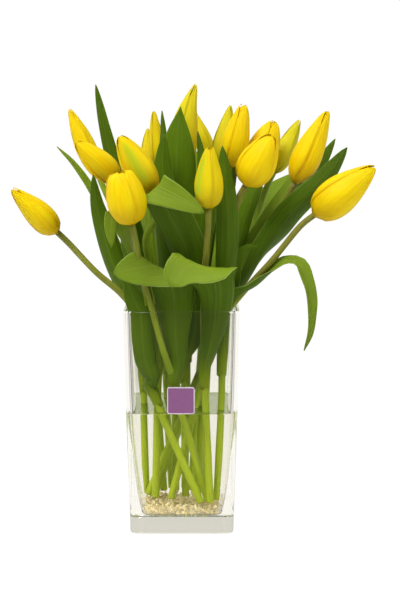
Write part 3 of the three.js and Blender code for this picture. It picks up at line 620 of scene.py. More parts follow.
def leaf_half(leaf, along):
    """Half of a leaf's width, with the sheath that clasps the stem at its base."""
    swell = max(math.sin(math.pi * along ** leaf["high"]), 0)
    full = leaf["width"] / 2 * swell ** leaf.get("taper", LEAF_TAPER)
    sheath = SHEATH_HALF * (1 - along) ** 6
    return max(full + sheath, LEAF_TIP_HALF)


def add_leaf(shell, leaf, stem, draw):
    """A hollow blade that clasps its stem, with waved edges. Some turn over at a fold."""
    side = radians_of(leaf["side"])
    outward = Vector((math.cos(side), math.sin(side), 0))
    starts = [
        stem.at(stem.share_at(leaf["base"] + rise)) + outward * (STEM_RADIUS_FOOT - ROOT_DEPTH + off)
        for rise, off in LEAF_ROOT
    ]
    path = Path(starts + [Vector(point) for point in leaf["points"]])
    count = max(int(path.length / LEAF_STEP), 20)
    normal = -outward
    phase = draw.uniform(0, 90)
    rows = []
    for row in range(count + 1):
        along = row / count
        middle, tangent = path.at(along), path.direction(along)
        normal = (normal - tangent * normal.dot(tangent)).normalized()
        turned = normal
        for begin, finish, towards in leaf.get("faces", []):
            turned = turned.lerp(Vector(towards).normalized(), smooth(begin, finish, along))
        inward = (turned - tangent * turned.dot(tangent)).normalized()
        across = tangent.cross(inward)
        half = leaf_half(leaf, along)
        near = STEM_RADIUS_FOOT + SHEATH_GAP
        cup = near * (leaf["cup"] / near) ** min(1, along * 1.6)
        bend = min(half / cup, LEAF_MOST_BEND)
        crease = radians_of(leaf["crease"]) * math.sin(math.pi * along)
        line = []
        for column in range(LEAF_COLUMNS + 1):
            share = column / LEAF_COLUMNS * 2 - 1
            sign = 1 if share > 0 else -1
            angle = crease + bend * abs(share)
            aside = sign * half / bend * (math.sin(angle) - math.sin(crease))
            rise = half / bend * (math.cos(crease) - math.cos(angle))
            wave = LEAF_WAVE * noise.noise(Vector((phase, along * path.length / 22, sign * 3)))
            rise += wave * abs(share) ** 2.5 * smooth(0.15, 0.35, along) * smooth(1.0, 0.85, along)
            point = middle + across * aside + inward * rise
            face = inward * math.cos(angle) - across * (sign * math.sin(angle))
            line.append((point, face.normalized(), column / LEAF_COLUMNS, along))
        rows.append(line)
    if "fold" in leaf:
        rows = [[fold_spot(spot, leaf["fold"]) for spot in line] for line in rows]

    def thickness(u, v):
        return mix(LEAF_MIDDLE_THICKNESS, LEAF_EDGE_THICKNESS, abs(2 * u - 1) ** 1.5)

    tone = draw.uniform(-0.5, 0.5)
    closed_blade(shell, rows, thickness, 0, tone=[tone] * len(rows) * (LEAF_COLUMNS + 1))


def fold_spot(spot, fold):
    """Folds one spot of a blade with its normal, from a point on either side of it."""
    point, normal, u, v = spot
    ahead = fold_over(point + normal * 0.5, fold)
    behind = fold_over(point - normal * 0.5, fold)
    return (ahead + behind) / 2, (ahead - behind).normalized(), u, v


# Blooms

def bloom_radius(tulip, along):
    swell = max(math.sin(math.pi * along ** tulip["low"]), 0) ** tulip["full"]
    radius = tulip["width"] / 2 * (swell + tulip["open"] * along ** 6)
    return max(radius, mix(STEM_RADIUS_TOP, BLOOM_TIP_RADIUS, along))


def add_petals(shell, number, tulip, draw):
    """Three outer petals that lap like a spiral, and three inner ones set back from them."""
    base, tip = (Vector(point) for point in tulip["bloom"])
    length = (tip - base).length
    turned = Vector((0, 0, 1)).rotation_difference((tip - base).normalized())
    bow = Vector(tulip.get("bow", (0, 0, 0)))
    blunt = tulip.get("blunt", PETAL_BLUNTNESS)

    def place(radius, angle, along):
        spot = Vector((radius * math.cos(angle), radius * math.sin(angle), length * along))
        return turned @ spot + base + bow * math.sin(math.pi * along)

    for petal in range(6):
        inner = petal >= 3
        middle = radians_of(tulip["turn"] + 120 * petal + (60 if inner else 0))
        reach = 0.98 if inner else 1.0
        reach *= draw.uniform(0.985, 1.0)
        phase = draw.uniform(0, 90)
        curl = draw.uniform(-0.5, 0.7)
        rows = []
        for row in range(PETAL_ROWS + 1):
            along = (row / PETAL_ROWS) ** 0.85
            radius = bloom_radius(tulip, along)
            if inner:
                radius = max(radius - INNER_BACK, radius * INNER_LEAST)
            spread = radians_of(PETAL_SPREAD) * math.sqrt(max(1 - along ** blunt, 0))
            spread *= mix(0.72, 1, smooth(0, 0.3, along))
            spread = max(spread, PETAL_TIP_HALF / radius)
            line = []
            for column in range(PETAL_COLUMNS + 1):
                share = column / PETAL_COLUMNS * 2 - 1
                lap = (0 if inner else PETAL_LAP) * share * smooth(0, 0.2, along)
                ridge = PETAL_RIDGE * math.exp(-(share / 0.16) ** 2) * math.sin(math.pi * along)
                wave = PETAL_WAVE * noise.noise(Vector((phase, along * 3.2, share * 1.4)))
                wave *= smooth(0.1, 0.5, along)
                lip = curl * abs(share) ** 3 * smooth(0.7, 1, along)
                off = max(radius + lap + ridge + wave + lip, 0.2)
                point = place(off, middle + share * spread, along * reach)
                line.append([point, None, column / PETAL_COLUMNS, along])
            rows.append(line)
        set_normals(rows)
        count = len(rows) * len(rows[0])
        green = [petal_green(number, petal, spot[2], spot[3]) for line in rows for spot in line]
        closed_blade(shell, rows, petal_thickness, 0, green=green, inner=[float(inner)] * count)


def petal_thickness(u, v):
    return PETAL_THICKNESS * mix(1, 0.45, abs(2 * u - 1) ** 2)


def petal_green(number, petal, u, v):
    """How green a petal is: a band along its middle that fades to the edges and the tip."""
    band = math.exp(-((u - 0.5) / 0.17) ** 2)
    striped, stripe = STRIPED.get(number, (0, 0))
    stripe = stripe if petal == striped else 0
    return min(GREENER.get(number, 0) + stripe * band * smooth(0.1, 0.35, v) * smooth(1.0, 0.75, v), 1)


def set_normals(rows):
    """Gives each spot of a grid its outward normal."""
    for row, line in enumerate(rows):
        for column, spot in enumerate(line):
            left = line[max(column - 1, 0)][0]
            right = line[min(column + 1, len(line) - 1)][0]
            below = rows[max(row - 1, 0)][column][0]
            above = rows[min(row + 1, len(rows) - 1)][column][0]
            spot[1] = (right - left).cross(above - below).normalized()


# Materials

class Nodes:
    """Adds nodes to a tree, sets their inputs and joins them."""

    def __init__(self, tree):
        self.tree = tree

    def join(self, value, socket):
        """Joins an output to an input, or gives the input a plain value."""
        if isinstance(value, bpy.types.NodeSocket):
            self.tree.links.new(value, socket)
        else:
            socket.default_value = value

    def add(self, kind, inputs=None, **settings):
        node = self.tree.nodes.new(kind)
        for name, value in settings.items():
            setattr(node, name, value)
        for name, value in (inputs or {}).items():
            self.join(value, node.inputs[name])
        return node

    def sum(self, operation, first, second=0.0, third=0.0, clamp=False):
        """One step of arithmetic on numbers or sockets."""
        node = self.add("ShaderNodeMath", {0: first, 1: second, 2: third}, operation=operation)
        node.use_clamp = clamp
        return node.outputs[0]

    def blend(self, share, first, second):
        """Mixes two colours, each a socket or a colour."""
        node = self.add("ShaderNodeMix", {0: share, 6: first, 7: second}, data_type="RGBA")
        return node.outputs[2]

    def between(self, value, low, high, most=1.0):
        """A smooth rise from 0 at low to most at high."""
        ends = {0: value, 1: low, 2: high, 4: most}
        return self.add("ShaderNodeMapRange", ends, interpolation_type="SMOOTHSTEP").outputs[0]

    def between_two(self, share, first, second):
        """Mixes two numbers, each a socket or a number."""
        node = self.add("ShaderNodeMix", {0: share, 2: first, 3: second}, data_type="FLOAT")
        return node.outputs[0]

    def number(self, name):
        return self.add("ShaderNodeAttribute", attribute_name=name).outputs["Fac"]


def start_material(name, **given):
    """A material with what is given set on its shader. The names have _ for a space."""
    material = bpy.data.materials.new(name)
    material.use_nodes = True
    shader = material.node_tree.nodes["Principled BSDF"]
    for key, value in given.items():
        shader.inputs[key.replace("_", " ")].default_value = value
    return material, Nodes(material.node_tree), shader


def streak_group():
    """Long streaks, broad and fine, along a piece's own map from its base to its tip."""
    tree = bpy.data.node_groups.new("long_streaks", "ShaderNodeTree")
    for name in ("Count", "Length", "Shift"):
        tree.interface.new_socket(name, in_out="INPUT", socket_type="NodeSocketFloat")
    for name in ("Across", "Along", "Broad", "Fine"):
        tree.interface.new_socket(name, in_out="OUTPUT", socket_type="NodeSocketFloat")
    maker = Nodes(tree)
    given = maker.add("NodeGroupInput")
    out = maker.add("NodeGroupOutput")
    spot = maker.add("ShaderNodeSeparateXYZ", {0: maker.add("ShaderNodeUVMap", uv_map="run").outputs[0]})
    for name, finer in (("Broad", 1.0), ("Fine", 3.7)):
        wide = maker.sum("MULTIPLY", maker.sum("MULTIPLY", spot.outputs[0], given.outputs["Count"]), finer)
        long = maker.sum("MULTIPLY", spot.outputs[1], given.outputs["Length"])
        place = maker.add("ShaderNodeCombineXYZ", {0: wide, 1: long, 2: given.outputs["Shift"]})
        grain = maker.add("ShaderNodeTexNoise", {"Vector": place.outputs[0], "Scale": 1.0, "Detail": 2.0})
        maker.join(grain.outputs[0], out.inputs[name])
    maker.join(spot.outputs[0], out.inputs["Across"])
    maker.join(spot.outputs[1], out.inputs["Along"])
    return tree


def streaks(maker, group, count, length, shift):
    inputs = {"Count": count, "Length": length, "Shift": shift}
    return maker.add("ShaderNodeGroup", inputs, node_tree=group).outputs


def roughen(maker, shader, height, distance):
    bump = maker.add("ShaderNodeBump", {"Height": height, "Strength": 1.0, "Distance": distance})
    maker.join(bump.outputs[0], shader.inputs["Normal"])


def leaf_look(group):
    material, maker, shader = start_material(
        "leaf_green", Roughness=0.5, Specular_IOR_Level=0.15,
        Subsurface_Weight=0.12, Subsurface_Scale=0.004, Subsurface_Radius=(0.4, 1.0, 0.15))
    tone = maker.number("tone")
    hollow = maker.number("hollow")
    run = streaks(maker, group, 34.0, 2.5, maker.sum("MULTIPLY", tone, 40.0))
    aside = maker.sum("ABSOLUTE", maker.sum("SUBTRACT", run["Across"], 0.5))
    green = maker.blend(hollow, LEAF_OUTER, LEAF_INNER)
    lifted = maker.blend(0.5, green, LEAF_LIGHT)
    green = maker.blend(maker.between(tone, -0.6, 1.2), green, lifted)
    green = maker.blend(maker.between(run["Broad"], 0.42, 0.72, 0.35), green, LEAF_LIGHT)
    green = maker.blend(maker.between(run["Fine"], 0.5, 0.75, 0.25), green, LEAF_DEEP)
    margin = maker.between(aside, 0.476, 0.495, 0.4)
    midrib = maker.between(aside, 0.03, 0.008, 0.08)
    green = maker.blend(maker.sum("MAXIMUM", margin, midrib), green, LEAF_PALE)
    green = maker.blend(maker.between(run["Along"], 0.22, 0.0, 0.75), green, LEAF_BASE)
    maker.join(green, shader.inputs["Base Color"])
    height = maker.sum("MULTIPLY_ADD", run["Fine"], 0.5, run["Broad"])
    roughen(maker, shader, height, 0.0006)
    return material


def stem_look(group):
    material, maker, shader = start_material(
        "stem_green", Roughness=0.4, Specular_IOR_Level=0.3,
        Subsurface_Weight=0.2, Subsurface_Scale=0.004, Subsurface_Radius=(0.7, 1.0, 0.2))
    run = streaks(maker, group, 9.0, 7.0, 3.0)
    place = maker.add("ShaderNodeTexCoord").outputs["Object"]
    rise = maker.add("ShaderNodeSeparateXYZ", {0: place}).outputs[2]
    green = maker.blend(maker.between(rise, 0.06, 0.16), STEM_LOW, STEM_HIGH)
    green = maker.blend(maker.between(run["Broad"], 0.4, 0.7, 0.35), green, STEM_LIGHT)
    blush = maker.sum("MULTIPLY", maker.between(run["Along"], 0.45, 0.8), maker.number("blush"))
    green = maker.blend(blush, green, STEM_BLUSH)
    maker.join(green, shader.inputs["Base Color"])
    roughen(maker, shader, run["Fine"], 0.0004)
    return material


def petal_look(group):
    material, maker, shader = start_material(
        "petal_yellow", Roughness=0.5, Specular_IOR_Level=0.12,
        Subsurface_Weight=0.2, Subsurface_Scale=0.005, Subsurface_Radius=(1.0, 0.7, 0.08))
    run = streaks(maker, group, 15.0, 1.6, 7.0)
    yellow = maker.blend(maker.between(run["Broad"], 0.35, 0.7), PETAL_GOLD, PETAL_YELLOW)
    # Painted shade: the inner petals, seen in the seams between the outer ones, are coloured a deeper gold
    yellow = maker.blend(maker.sum("MULTIPLY", maker.number("inner"), 0.55), yellow, PETAL_SEAM_SHADE)
    # Painted shade: darker gold towards each petal's base, where the bloom meets its stem
    yellow = maker.blend(maker.between(run["Along"], 0.5, 0.0, 0.85), yellow, PETAL_FOOT_SHADE)
    yellow = maker.blend(maker.number("green"), yellow, PETAL_GREEN)
    maker.join(yellow, shader.inputs["Base Color"])
    height = maker.sum("MULTIPLY_ADD", run["Fine"], 0.5, run["Broad"])
    roughen(maker, shader, height, 0.0005)
    return material


def clear_look(name, bend, tint, passed=None):
    """Clear glass or water. It bends what is seen through it. Light on its way to other pieces, blurred
    reflections and long chains of reflections pass straight, in the colour passed or else in tint.
    """
    material, maker, shader = start_material(
        name, Base_Color=tint, Roughness=0.0, Transmission_Weight=1.0, IOR=bend, Metallic=0.0)
    rays = maker.add("ShaderNodeLightPath")
    passing = maker.sum("MAXIMUM", rays.outputs["Is Shadow Ray"], rays.outputs["Is Diffuse Ray"])
    long = maker.sum("GREATER_THAN", rays.outputs["Glossy Depth"], SHARP_BOUNCES)
    blurred = maker.sum("SUBTRACT", rays.outputs["Is Reflection Ray"], rays.outputs["Is Singular Ray"])
    passing = maker.sum("MAXIMUM", maker.sum("MAXIMUM", passing, long), blurred, clamp=True)
    through = maker.add("ShaderNodeBsdfTransparent", {"Color": passed or tint})
    both = maker.add("ShaderNodeMixShader", {0: passing, 1: shader.outputs[0], 2: through.outputs[0]})
    maker.join(both.outputs[0], material.node_tree.nodes["Material Output"].inputs[0])
    return material


def marble_look():
    material, maker, shader = start_material("marble_cream", Roughness=0.7, Specular_IOR_Level=0.2)
    place = maker.add("ShaderNodeTexCoord").outputs["Object"]
    grain = maker.add("ShaderNodeTexNoise", {"Vector": place, "Scale": 420.0, "Detail": 4.0}).outputs[0]
    cream = maker.blend(maker.number("tone"), MARBLE_WARM, MARBLE_PALE)
    cream = maker.blend(maker.between(grain, 0.45, 0.75, 0.5), cream, MARBLE_VEIN)
    maker.join(cream, shader.inputs["Base Color"])
    roughen(maker, shader, grain, 0.0003)
    return material


def card_look(name, shade, rough):
    """Bare card: a faint mottle in its colour and a slight grain."""
    material, maker, shader = start_material(name, Roughness=rough)
    place = maker.add("ShaderNodeTexCoord").outputs["Object"]
    mottle = maker.add("ShaderNodeTexNoise", {"Vector": place, "Scale": 260.0, "Detail": 3.0}).outputs[0]
    darker = (shade[0] * 0.8, shade[1] * 0.8, shade[2] * 0.8, 1)
    tone = maker.blend(maker.between(mottle, 0.4, 0.75, 0.5), shade, darker)
    maker.join(tone, shader.inputs["Base Color"])
    roughen(maker, shader, mottle, 0.0001)
    return material


# The glass, water, chips and label

def rounded_square(half, corner, height):
    """One level of the vase with the outward direction at each point."""
    ring = []
    for quarter in range(4):
        for step in range(CORNER_STEPS + 1):
            angle = (quarter + step / CORNER_STEPS) * math.pi / 2
            sign_x = 1 if quarter in (0, 3) else -1
            sign_y = 1 if quarter < 2 else -1
            outward = Vector((math.cos(angle), math.sin(angle), 0))
            middle = Vector((sign_x * (half - corner), sign_y * (half - corner), height))
            ring.append((middle + outward * corner, outward))
    return ring


def outside_half(height):
    return mix(VASE_BASE_HALF, VASE_RIM_HALF, height / VASE_HEIGHT)


def inside_half(height):
    """Half of the inside width, smooth between the levels that the table gives."""
    levels = VASE_INSIDE
    index = 0
    while index < len(levels) - 2 and levels[index + 1][1] < height:
        index += 1
    (low_half, low), (high_half, high) = levels[index], levels[index + 1]
    before, after = levels[max(index - 1, 0)], levels[min(index + 2, len(levels) - 1)]
    span = high - low
    leave = (high_half - before[0]) / (high - before[1]) * span
    arrive = (after[0] - low_half) / (after[1] - low) * span
    part = min(max((height - low) / span, 0), 1)
    square, cube = part * part, part ** 3
    return (low_half * (2 * cube - 3 * square + 1) + leave * (cube - 2 * square + part)
            + high_half * (3 * square - 2 * cube) + arrive * (cube - square))


def wall_corner(height):
    return mix(INSIDE_CORNER, VASE_CORNER, height / VASE_HEIGHT)


def arc(half, corner, height, radius, first, last, steps):
    """Levels round a rounded edge: half and height give its middle, angles are in degrees."""
    levels = []
    for step in range(steps + 1):
        angle = radians_of(mix(first, last, step / steps))
        out, rise = math.cos(angle), math.sin(angle)
        levels.append((half + radius * out, corner, height + radius * rise, out, rise))
    return levels


def inside_levels(low, high, spread, steps):
    """Levels up the inside wall. spread moves them into the glass."""
    levels = []
    for step in range(steps + 1):
        height = mix(low, high, step / steps)
        lean = (inside_half(height + 0.5) - inside_half(height - 0.5))
        levels.append((inside_half(height) + spread, wall_corner(height), height, 1, -lean))
    return levels


def skin(name, levels, material):
    """A closed skin over levels of (half, corner, height, out, rise) with true normals."""
    rings = [rounded_square(half, corner, height) for half, corner, height, _, _ in levels]
    sides = len(rings[0])
    points = [point for ring in rings for point, _ in ring]
    faces = ring_faces(len(rings), sides) + end_faces(len(points), sides)
    normals = []
    for ring, (_, _, _, out, rise) in zip(rings, levels):
        normals += [(outward * out + Vector((0, 0, rise))).normalized() for _, outward in ring]
    mesh = bpy.data.meshes.new(name)
    mesh.from_pydata([point * MM for point in points], [], faces)
    mesh.polygons.foreach_set("use_smooth", [True] * len(faces))
    mesh.materials.append(material)
    mesh.normals_split_custom_set_from_vertices(normals)
    return show(name, mesh)


def flat_ring(half, corner, height, rise):
    """A level that belongs to a flat floor or foot, with its normal straight up or down."""
    return (half, corner, height, 0, rise)


def make_vase(material, foot):
    """The skin runs up the outside, over the rim, down the inside and over the inner floor."""
    lean = (VASE_RIM_HALF - VASE_BASE_HALF) / VASE_HEIGHT
    foot_middle = outside_half(FOOT_ROUND) - FOOT_ROUND
    levels = [flat_ring(foot_middle - 1, VASE_CORNER, 0, -1)]
    levels += arc(foot_middle, VASE_CORNER, FOOT_ROUND, FOOT_ROUND, -90, 0, ROUND_STEPS)
    for step in range(1, OUTSIDE_STEPS):
        height = mix(FOOT_ROUND, VASE_HEIGHT - RIM_ROUND, step / OUTSIDE_STEPS)
        levels.append((outside_half(height), VASE_CORNER, height, 1, -lean))
    rim_outside = outside_half(VASE_HEIGHT - RIM_ROUND) - RIM_ROUND
    rim_inside = inside_half(VASE_HEIGHT - RIM_ROUND) + RIM_ROUND
    levels += arc(rim_outside, VASE_CORNER, VASE_HEIGHT - RIM_ROUND, RIM_ROUND, 0, 90, RIM_STEPS)
    levels += arc(rim_inside, VASE_CORNER, VASE_HEIGHT - RIM_ROUND, RIM_ROUND, 90, 180, RIM_STEPS)
    wall = inside_levels(VASE_FLOOR + FLOOR_ROUND, VASE_HEIGHT - RIM_ROUND - 2, 0, INSIDE_STEPS)
    levels += [(half, corner, height, -out, -rise) for half, corner, height, out, rise in wall[::-1]]
    floor_half = inside_half(VASE_FLOOR + FLOOR_ROUND) - FLOOR_ROUND
    floor_arc = arc(floor_half, INSIDE_CORNER, VASE_FLOOR + FLOOR_ROUND, FLOOR_ROUND, 0, -90, ROUND_STEPS)
    levels += [(half, corner, height, -out, -rise) for half, corner, height, out, rise in floor_arc[1:]]
    levels.append(flat_ring(floor_half - 1, INSIDE_CORNER, VASE_FLOOR, 1))
    piece = skin("square_vase", levels, material)
    piece.data.materials.append(foot)
    # The glass below the inner floor takes the foot material, with its painted shade
    for face in piece.data.polygons:
        if face.center.z < VASE_FLOOR * MM:
            face.material_index = 1
    return piece


def make_water(material, top):
    """The water reaches a little into the glass, so no film of air shows between the two."""
    floor_half = inside_half(VASE_FLOOR + FLOOR_ROUND) - FLOOR_ROUND
    edge = FLOOR_ROUND + WATER_OVERLAP
    levels = [flat_ring(floor_half - 1, INSIDE_CORNER, VASE_FLOOR - WATER_OVERLAP, -1)]
    levels += arc(floor_half, INSIDE_CORNER, VASE_FLOOR + FLOOR_ROUND, edge, -90, 0, ROUND_STEPS)
    levels += inside_levels(
        VASE_FLOOR + FLOOR_ROUND + 1, WATER_LEVEL + MENISCUS, WATER_OVERLAP, WATER_STEPS)
    spread = MENISCUS * MENISCUS_SPREAD
    for step in range(1, ROUND_STEPS + 1):
        share = step / ROUND_STEPS
        half = inside_half(WATER_LEVEL) + WATER_OVERLAP - 0.05 - spread * share
        height = WATER_LEVEL + MENISCUS * (1 - share) ** 2
        steep = 2 * MENISCUS * (1 - share) / spread
        levels.append((half, wall_corner(height), height, -steep, 1))
    levels.append(flat_ring(inside_half(WATER_LEVEL) - 6, INSIDE_CORNER, WATER_LEVEL, 1))
    piece = skin("vase_water", levels, material)
    piece.data.materials.append(top)
    # The water's top takes the material with the painted dark band
    for face in piece.data.polygons:
        if face.normal.z > 0.5:
            face.material_index = 1
    return piece


def chip_kinds(count, draw):
    """A few angular chips, each the hull of points round a flattened ball."""
    kinds = bpy.data.collections.new("chip_kinds")
    for index in range(count):
        mesh = bpy.data.meshes.new("chip_kind")
        form = bmesh.new()
        long, wide, flat = draw.uniform(0.9, 1.25), draw.uniform(0.42, 0.65), draw.uniform(0.28, 0.42)
        for _ in range(CHIP_CORNERS):
            spot = Vector([draw.gauss(0, 1) for _ in range(3)]).normalized() * draw.uniform(0.85, 1.1)
            form.verts.new(Vector((spot.x * long, spot.y * wide, spot.z * flat)) * MM)
        hull = bmesh.ops.convex_hull(form, input=form.verts)
        loose = list(set(hull["geom_interior"] + hull["geom_unused"]))
        bmesh.ops.delete(form, geom=loose, context="VERTS")
        bmesh.ops.recalc_face_normals(form, faces=form.faces)
        form.to_mesh(mesh)
        form.free()
        kinds.objects.link(bpy.data.objects.new(f"chip_kind_{index}", mesh))
    return kinds


def chip_tree(kinds, material):
    """Strews chips over the faces that it is given, each turned and sized on its own."""
    tree = bpy.data.node_groups.new("strewn_chips", "GeometryNodeTree")
    face = tree.interface
    face.new_socket("Beds", in_out="INPUT", socket_type="NodeSocketGeometry")
    for name, kind in (("Gap", "NodeSocketFloat"), ("Smallest", "NodeSocketFloat"),
                       ("Largest", "NodeSocketFloat"), ("Seed", "NodeSocketInt")):
        face.new_socket(name, in_out="INPUT", socket_type=kind)
    face.new_socket("Chips", in_out="OUTPUT", socket_type="NodeSocketGeometry")
    maker = Nodes(tree)
    given = maker.add("NodeGroupInput")
    strewn = maker.add("GeometryNodeDistributePointsOnFaces", distribute_method="POISSON", inputs={
        "Mesh": given.outputs["Beds"], "Distance Min": given.outputs["Gap"],
        "Density Max": CHIP_DENSITY, "Seed": given.outputs["Seed"]})
    seed = given.outputs["Seed"]
    pick = maker.add("FunctionNodeRandomValue", data_type="INT", inputs={
        "Seed": seed, 4: 0, 5: len(kinds.objects) - 1})
    turn = maker.add("FunctionNodeRandomValue", data_type="FLOAT_VECTOR", inputs={
        "Seed": seed, 1: (math.tau, math.tau, math.tau)})
    size = maker.add("FunctionNodeRandomValue", data_type="FLOAT", inputs={
        "Seed": seed, 2: given.outputs["Smallest"], 3: given.outputs["Largest"]})
    shapes = maker.add("GeometryNodeCollectionInfo", inputs={
        "Collection": kinds, "Separate Children": True, "Reset Children": True})
    placed = maker.add("GeometryNodeInstanceOnPoints", inputs={
        "Points": strewn.outputs["Points"], "Instance": shapes.outputs[0], "Pick Instance": True,
        "Instance Index": pick.outputs[2], "Rotation": turn.outputs[0], "Scale": size.outputs[1]})
    tint = maker.add("FunctionNodeRandomValue", data_type="FLOAT")
    shade = maker.add("GeometryNodeStoreNamedAttribute", data_type="FLOAT", domain="INSTANCE", inputs={
        "Geometry": placed.outputs["Instances"], "Name": "tone", "Value": tint.outputs[1]})
    real = maker.add("GeometryNodeRealizeInstances", inputs={"Geometry": shade.outputs["Geometry"]})
    dressed = maker.add("GeometryNodeSetMaterial", inputs={
        "Geometry": real.outputs["Geometry"], "Material": material})
    out = maker.add("NodeGroupOutput")
    maker.join(dressed.outputs["Geometry"], out.inputs["Chips"])
    return tree


def make_chips(material, draw):
    """Several hundred chips over flat beds, one above the other, on the vase's floor."""
    beds = bmesh.new()
    for height, half in CHIP_BEDS:
        corners = [Vector((x * half, y * half, height)) * MM for x, y in ((-1, -1), (1, -1), (1, 1), (-1, 1))]
        beds.faces.new([beds.verts.new(corner) for corner in corners])
    mesh = bpy.data.meshes.new("chip_beds")
    beds.to_mesh(mesh)
    beds.free()
    holder = show("chip_beds", mesh)
    kinds = chip_kinds(CHIP_KINDS, draw)
    modifier = holder.modifiers.new("chips", "NODES")
    modifier.node_group = chip_tree(kinds, material)
    wanted = {"Gap": CHIP_GAP * MM, "Smallest": CHIP_SMALLEST, "Largest": CHIP_LARGEST, "Seed": CHIP_SEED}
    for item in modifier.node_group.interface.items_tree:
        if item.in_out == "INPUT" and item.name in wanted:
            modifier[item.identifier] = wanted[item.name]
    scene_now = bpy.context.evaluated_depsgraph_get()
    chips = bpy.data.meshes.new_from_object(holder.evaluated_get(scene_now))
    holder.modifiers.remove(modifier)
    bpy.data.objects.remove(holder)
    for kind in list(kinds.objects):
        bpy.data.objects.remove(kind)
    bpy.data.collections.remove(kinds)
    return show("marble_chips", chips)


def make_label(face, rim):
    """A bare square plate with rounded corners, a pale rim and a slightly sunk face."""
    lean = (VASE_RIM_HALF - VASE_BASE_HALF) / VASE_HEIGHT
    middle_x, middle_z = LABEL_MIDDLE
    sunk = LABEL_THICKNESS - LABEL_SINK
    layers = [(0, 0), (0, 0.4), (0.12, 0.56), (0.35, LABEL_THICKNESS), (LABEL_RIM, LABEL_THICKNESS),
              (LABEL_RIM + 0.1, sunk), (LABEL_RIM + 0.5, sunk)]
    points = []
    for inset, proud in layers:
        corner = max(LABEL_ROUND - inset, LABEL_LEAST_ROUND)
        for spot, _ in rounded_square(LABEL_SIZE / 2 - inset, corner, 0):
            x, z = middle_x + spot.x, middle_z + spot.y
            points.append(Vector((x, -VASE_BASE_HALF - lean * z - TOUCH_GAP - proud, z)))
    count = len(points) // len(layers)
    sides = ring_faces(len(layers), count)
    outside = (len(layers) - 3) * count
    faces = sides + end_faces(len(points), count)
    shell = Shell()
    shell.add(points, faces, [(0, 0)] * len(points), 0, len(faces))
    shell.slots = [0] * outside + [1] * (len(sides) - outside) + [0, 1]
    return shell.build("label_plate", [rim, face])


# The whole bunch

def make_bunch():
    group = streak_group()
    leaf, stem, petal = leaf_look(group), stem_look(group), petal_look(group)
    for number, tulip in TULIPS.items():
        draw = random.Random(TULIP_SEED + number)
        path = stem_path(tulip)
        green = Shell()
        add_stem(green, number, path, draw)
        for entry in LEAVES:
            if entry["tulip"] == number:
                add_leaf(green, entry, path, draw)
        leafy = green.build(f"leafy_stem_{number:02d}", [leaf, stem])
        dress(leafy, "leaf", f"tulip{number:02d}_stem")
        yellow = Shell()
        add_petals(yellow, number, tulip, draw)
        bloom = yellow.build(f"petals_{number:02d}", [petal])
        dress(bloom, "petal", f"tulip{number:02d}_bloom")


def make_holder():
    glass = clear_look("vase_glass", GLASS_INDEX, GLASS_TINT, GLASS_PASSED)
    # Painted shade: the foot's glass is tinted darker and yellower than the walls above it
    foot = clear_look("vase_glass_foot_shade", GLASS_INDEX, FOOT_SHADE_TINT, GLASS_PASSED)
    dress(make_vase(glass, foot), "glass", "vase")
    water = clear_look("vase_water", WATER_INDEX, WATER_TINT)
    # Painted light: the water's top is tinted dark green to paint in the band at the water line
    water_top = clear_look("vase_water_top_painted_band", WATER_INDEX, WATER_LINE_PAINTED_BAND, WATER_TINT)
    dress(make_water(water, water_top), "water", "water")
    dress(make_chips(marble_look(), random.Random(CHIP_FORM_SEED)), "marble", "gravel")
    rim = card_look("label_rim", LABEL_PALE, 0.4)
    face = card_look("label_face", LABEL_PURPLE, 0.35)
    dress(make_label(face, rim), "label", "label")


# The studio

def straight_sight(maker, rays):
    """1 where the camera sees a thing bare or through clear pieces, 0 where it sees a reflection."""
    straight = maker.sum("LESS_THAN", rays["Glossy Depth"], 0.5)
    through = maker.sum("MULTIPLY", rays["Is Transmission Ray"], straight)
    return maker.sum("MAXIMUM", rays["Is Camera Ray"], through)


def corner_level(maker, rays, corner):
    """Darkens the studio's corners for what the glass bends, which gives the clear walls their edges."""
    bent = maker.sum("MULTIPLY", rays["Is Transmission Ray"], corner)
    return maker.sum("MULTIPLY_ADD", bent, CORNER_LEVEL - 1.0, 1.0)


def make_floor():
    """A pale floor that is large enough to fill the picture."""
    mesh = bpy.data.meshes.new("floor")
    reach = FLOOR_REACH
    mesh.from_pydata([(-reach, -reach, 0), (reach, -reach, 0), (reach, reach, 0), (-reach, reach, 0)],
                     [], [(0, 1, 2, 3)])
    floor = show("floor", mesh)
    floor.location.z = -FLOOR_DROP
    material, maker, shader = start_material(
        "floor_white", Roughness=0.9, Specular_IOR_Level=0.0, Emission_Color=(1, 1, 1, 1))
    rays = maker.add("ShaderNodeLightPath").outputs
    seen = straight_sight(maker, rays)
    place = maker.add("ShaderNodeTexCoord").outputs["Object"]
    spot = maker.add("ShaderNodeSeparateXYZ", {0: place}).outputs
    behind = maker.between(spot[1], -0.05, 0.05)
    off = maker.sum("MINIMUM", maker.sum("ABSOLUTE", spot[0]), maker.sum("ABSOLUTE", spot[1]))
    level = corner_level(maker, rays, maker.between(off, CORNER_NEAR, CORNER_FAR))
    pale = maker.blend(rays["Is Diffuse Ray"], FLOOR_DARK, FLOOR_PALE)
    maker.join(pale, shader.inputs["Base Color"])
    glow = maker.sum("MULTIPLY", maker.sum("MAXIMUM", seen, behind), level)
    glow = maker.sum("MULTIPLY", glow, maker.sum("SUBTRACT", 1.0, rays["Is Diffuse Ray"]))
    maker.join(glow, shader.inputs["Emission Strength"])
    mesh.materials.append(material)


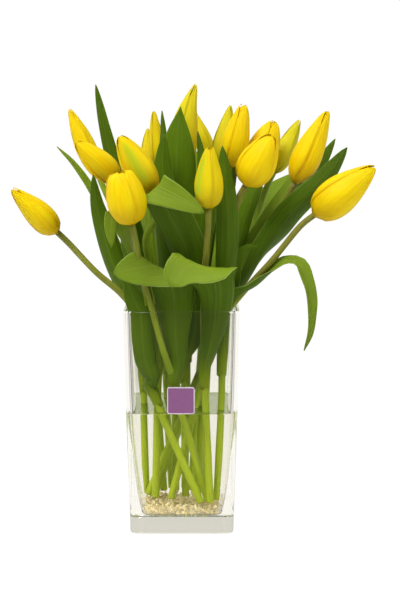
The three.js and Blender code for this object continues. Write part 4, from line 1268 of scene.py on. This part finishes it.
def make_light():
    """Soft light from all round, stronger behind, and two large soft lamps in front."""
    world = bpy.data.worlds.new("studio")
    world.use_nodes = True
    bpy.context.scene.world = world
    maker = Nodes(world.node_tree)
    way = maker.add("ShaderNodeTexCoord").outputs["Generated"]
    across, back, _ = maker.add("ShaderNodeSeparateXYZ", {0: way}).outputs
    share = maker.between(back, -0.7, 0.5)
    lit = maker.sum("MULTIPLY_ADD", share, WORLD_BACK - WORLD_FRONT, WORLD_FRONT)
    rays = maker.add("ShaderNodeLightPath").outputs
    bright = maker.sum("MAXIMUM", share, rays["Is Transmission Ray"])
    mirrored = maker.sum("MULTIPLY_ADD", bright, MIRRORED_BACK - MIRRORED_FRONT, MIRRORED_FRONT)
    lit = maker.between_two(rays["Is Diffuse Ray"], mirrored, lit)
    across, back = maker.sum("ABSOLUTE", across), maker.sum("ABSOLUTE", back)
    longer = maker.sum("MAXIMUM", maker.sum("MAXIMUM", across, back), 0.01)
    slant = maker.sum("DIVIDE", maker.sum("MINIMUM", across, back), longer)
    corner = maker.between(slant, SLANT_NEAR, SLANT_FAR)
    seen = maker.sum("MULTIPLY", corner_level(maker, rays, corner), WORLD_SEEN)
    level = maker.between_two(straight_sight(maker, rays), lit, seen)
    ground = world.node_tree.nodes["Background"]
    ground.inputs["Color"].default_value = (1, 1, 1, 1)
    maker.join(level, ground.inputs["Strength"])
    for name, place, size, power in LAMPS:
        lamp = bpy.data.lights.new(name, "AREA")
        lamp.energy = power
        lamp.size = size
        holder = show(name, lamp)
        holder.location = place
        aim = Vector((0, 0, LAMPS_AIM)) - Vector(place)
        holder.rotation_euler = aim.to_track_quat("-Z", "Y").to_euler()


def make_camera():
    lens = bpy.data.cameras.new("camera")
    lens.lens = CAMERA_LENS
    camera = show("camera", lens)
    camera.location = Vector(CAMERA_PLACE) * MM
    camera.rotation_euler = (radians_of(90 - CAMERA_DOWN), 0, 0)
    bpy.context.scene.camera = camera
    bpy.context.scene.view_settings.view_transform = "Standard"


make_camera()
make_bunch()
make_holder()
make_floor()
make_light()
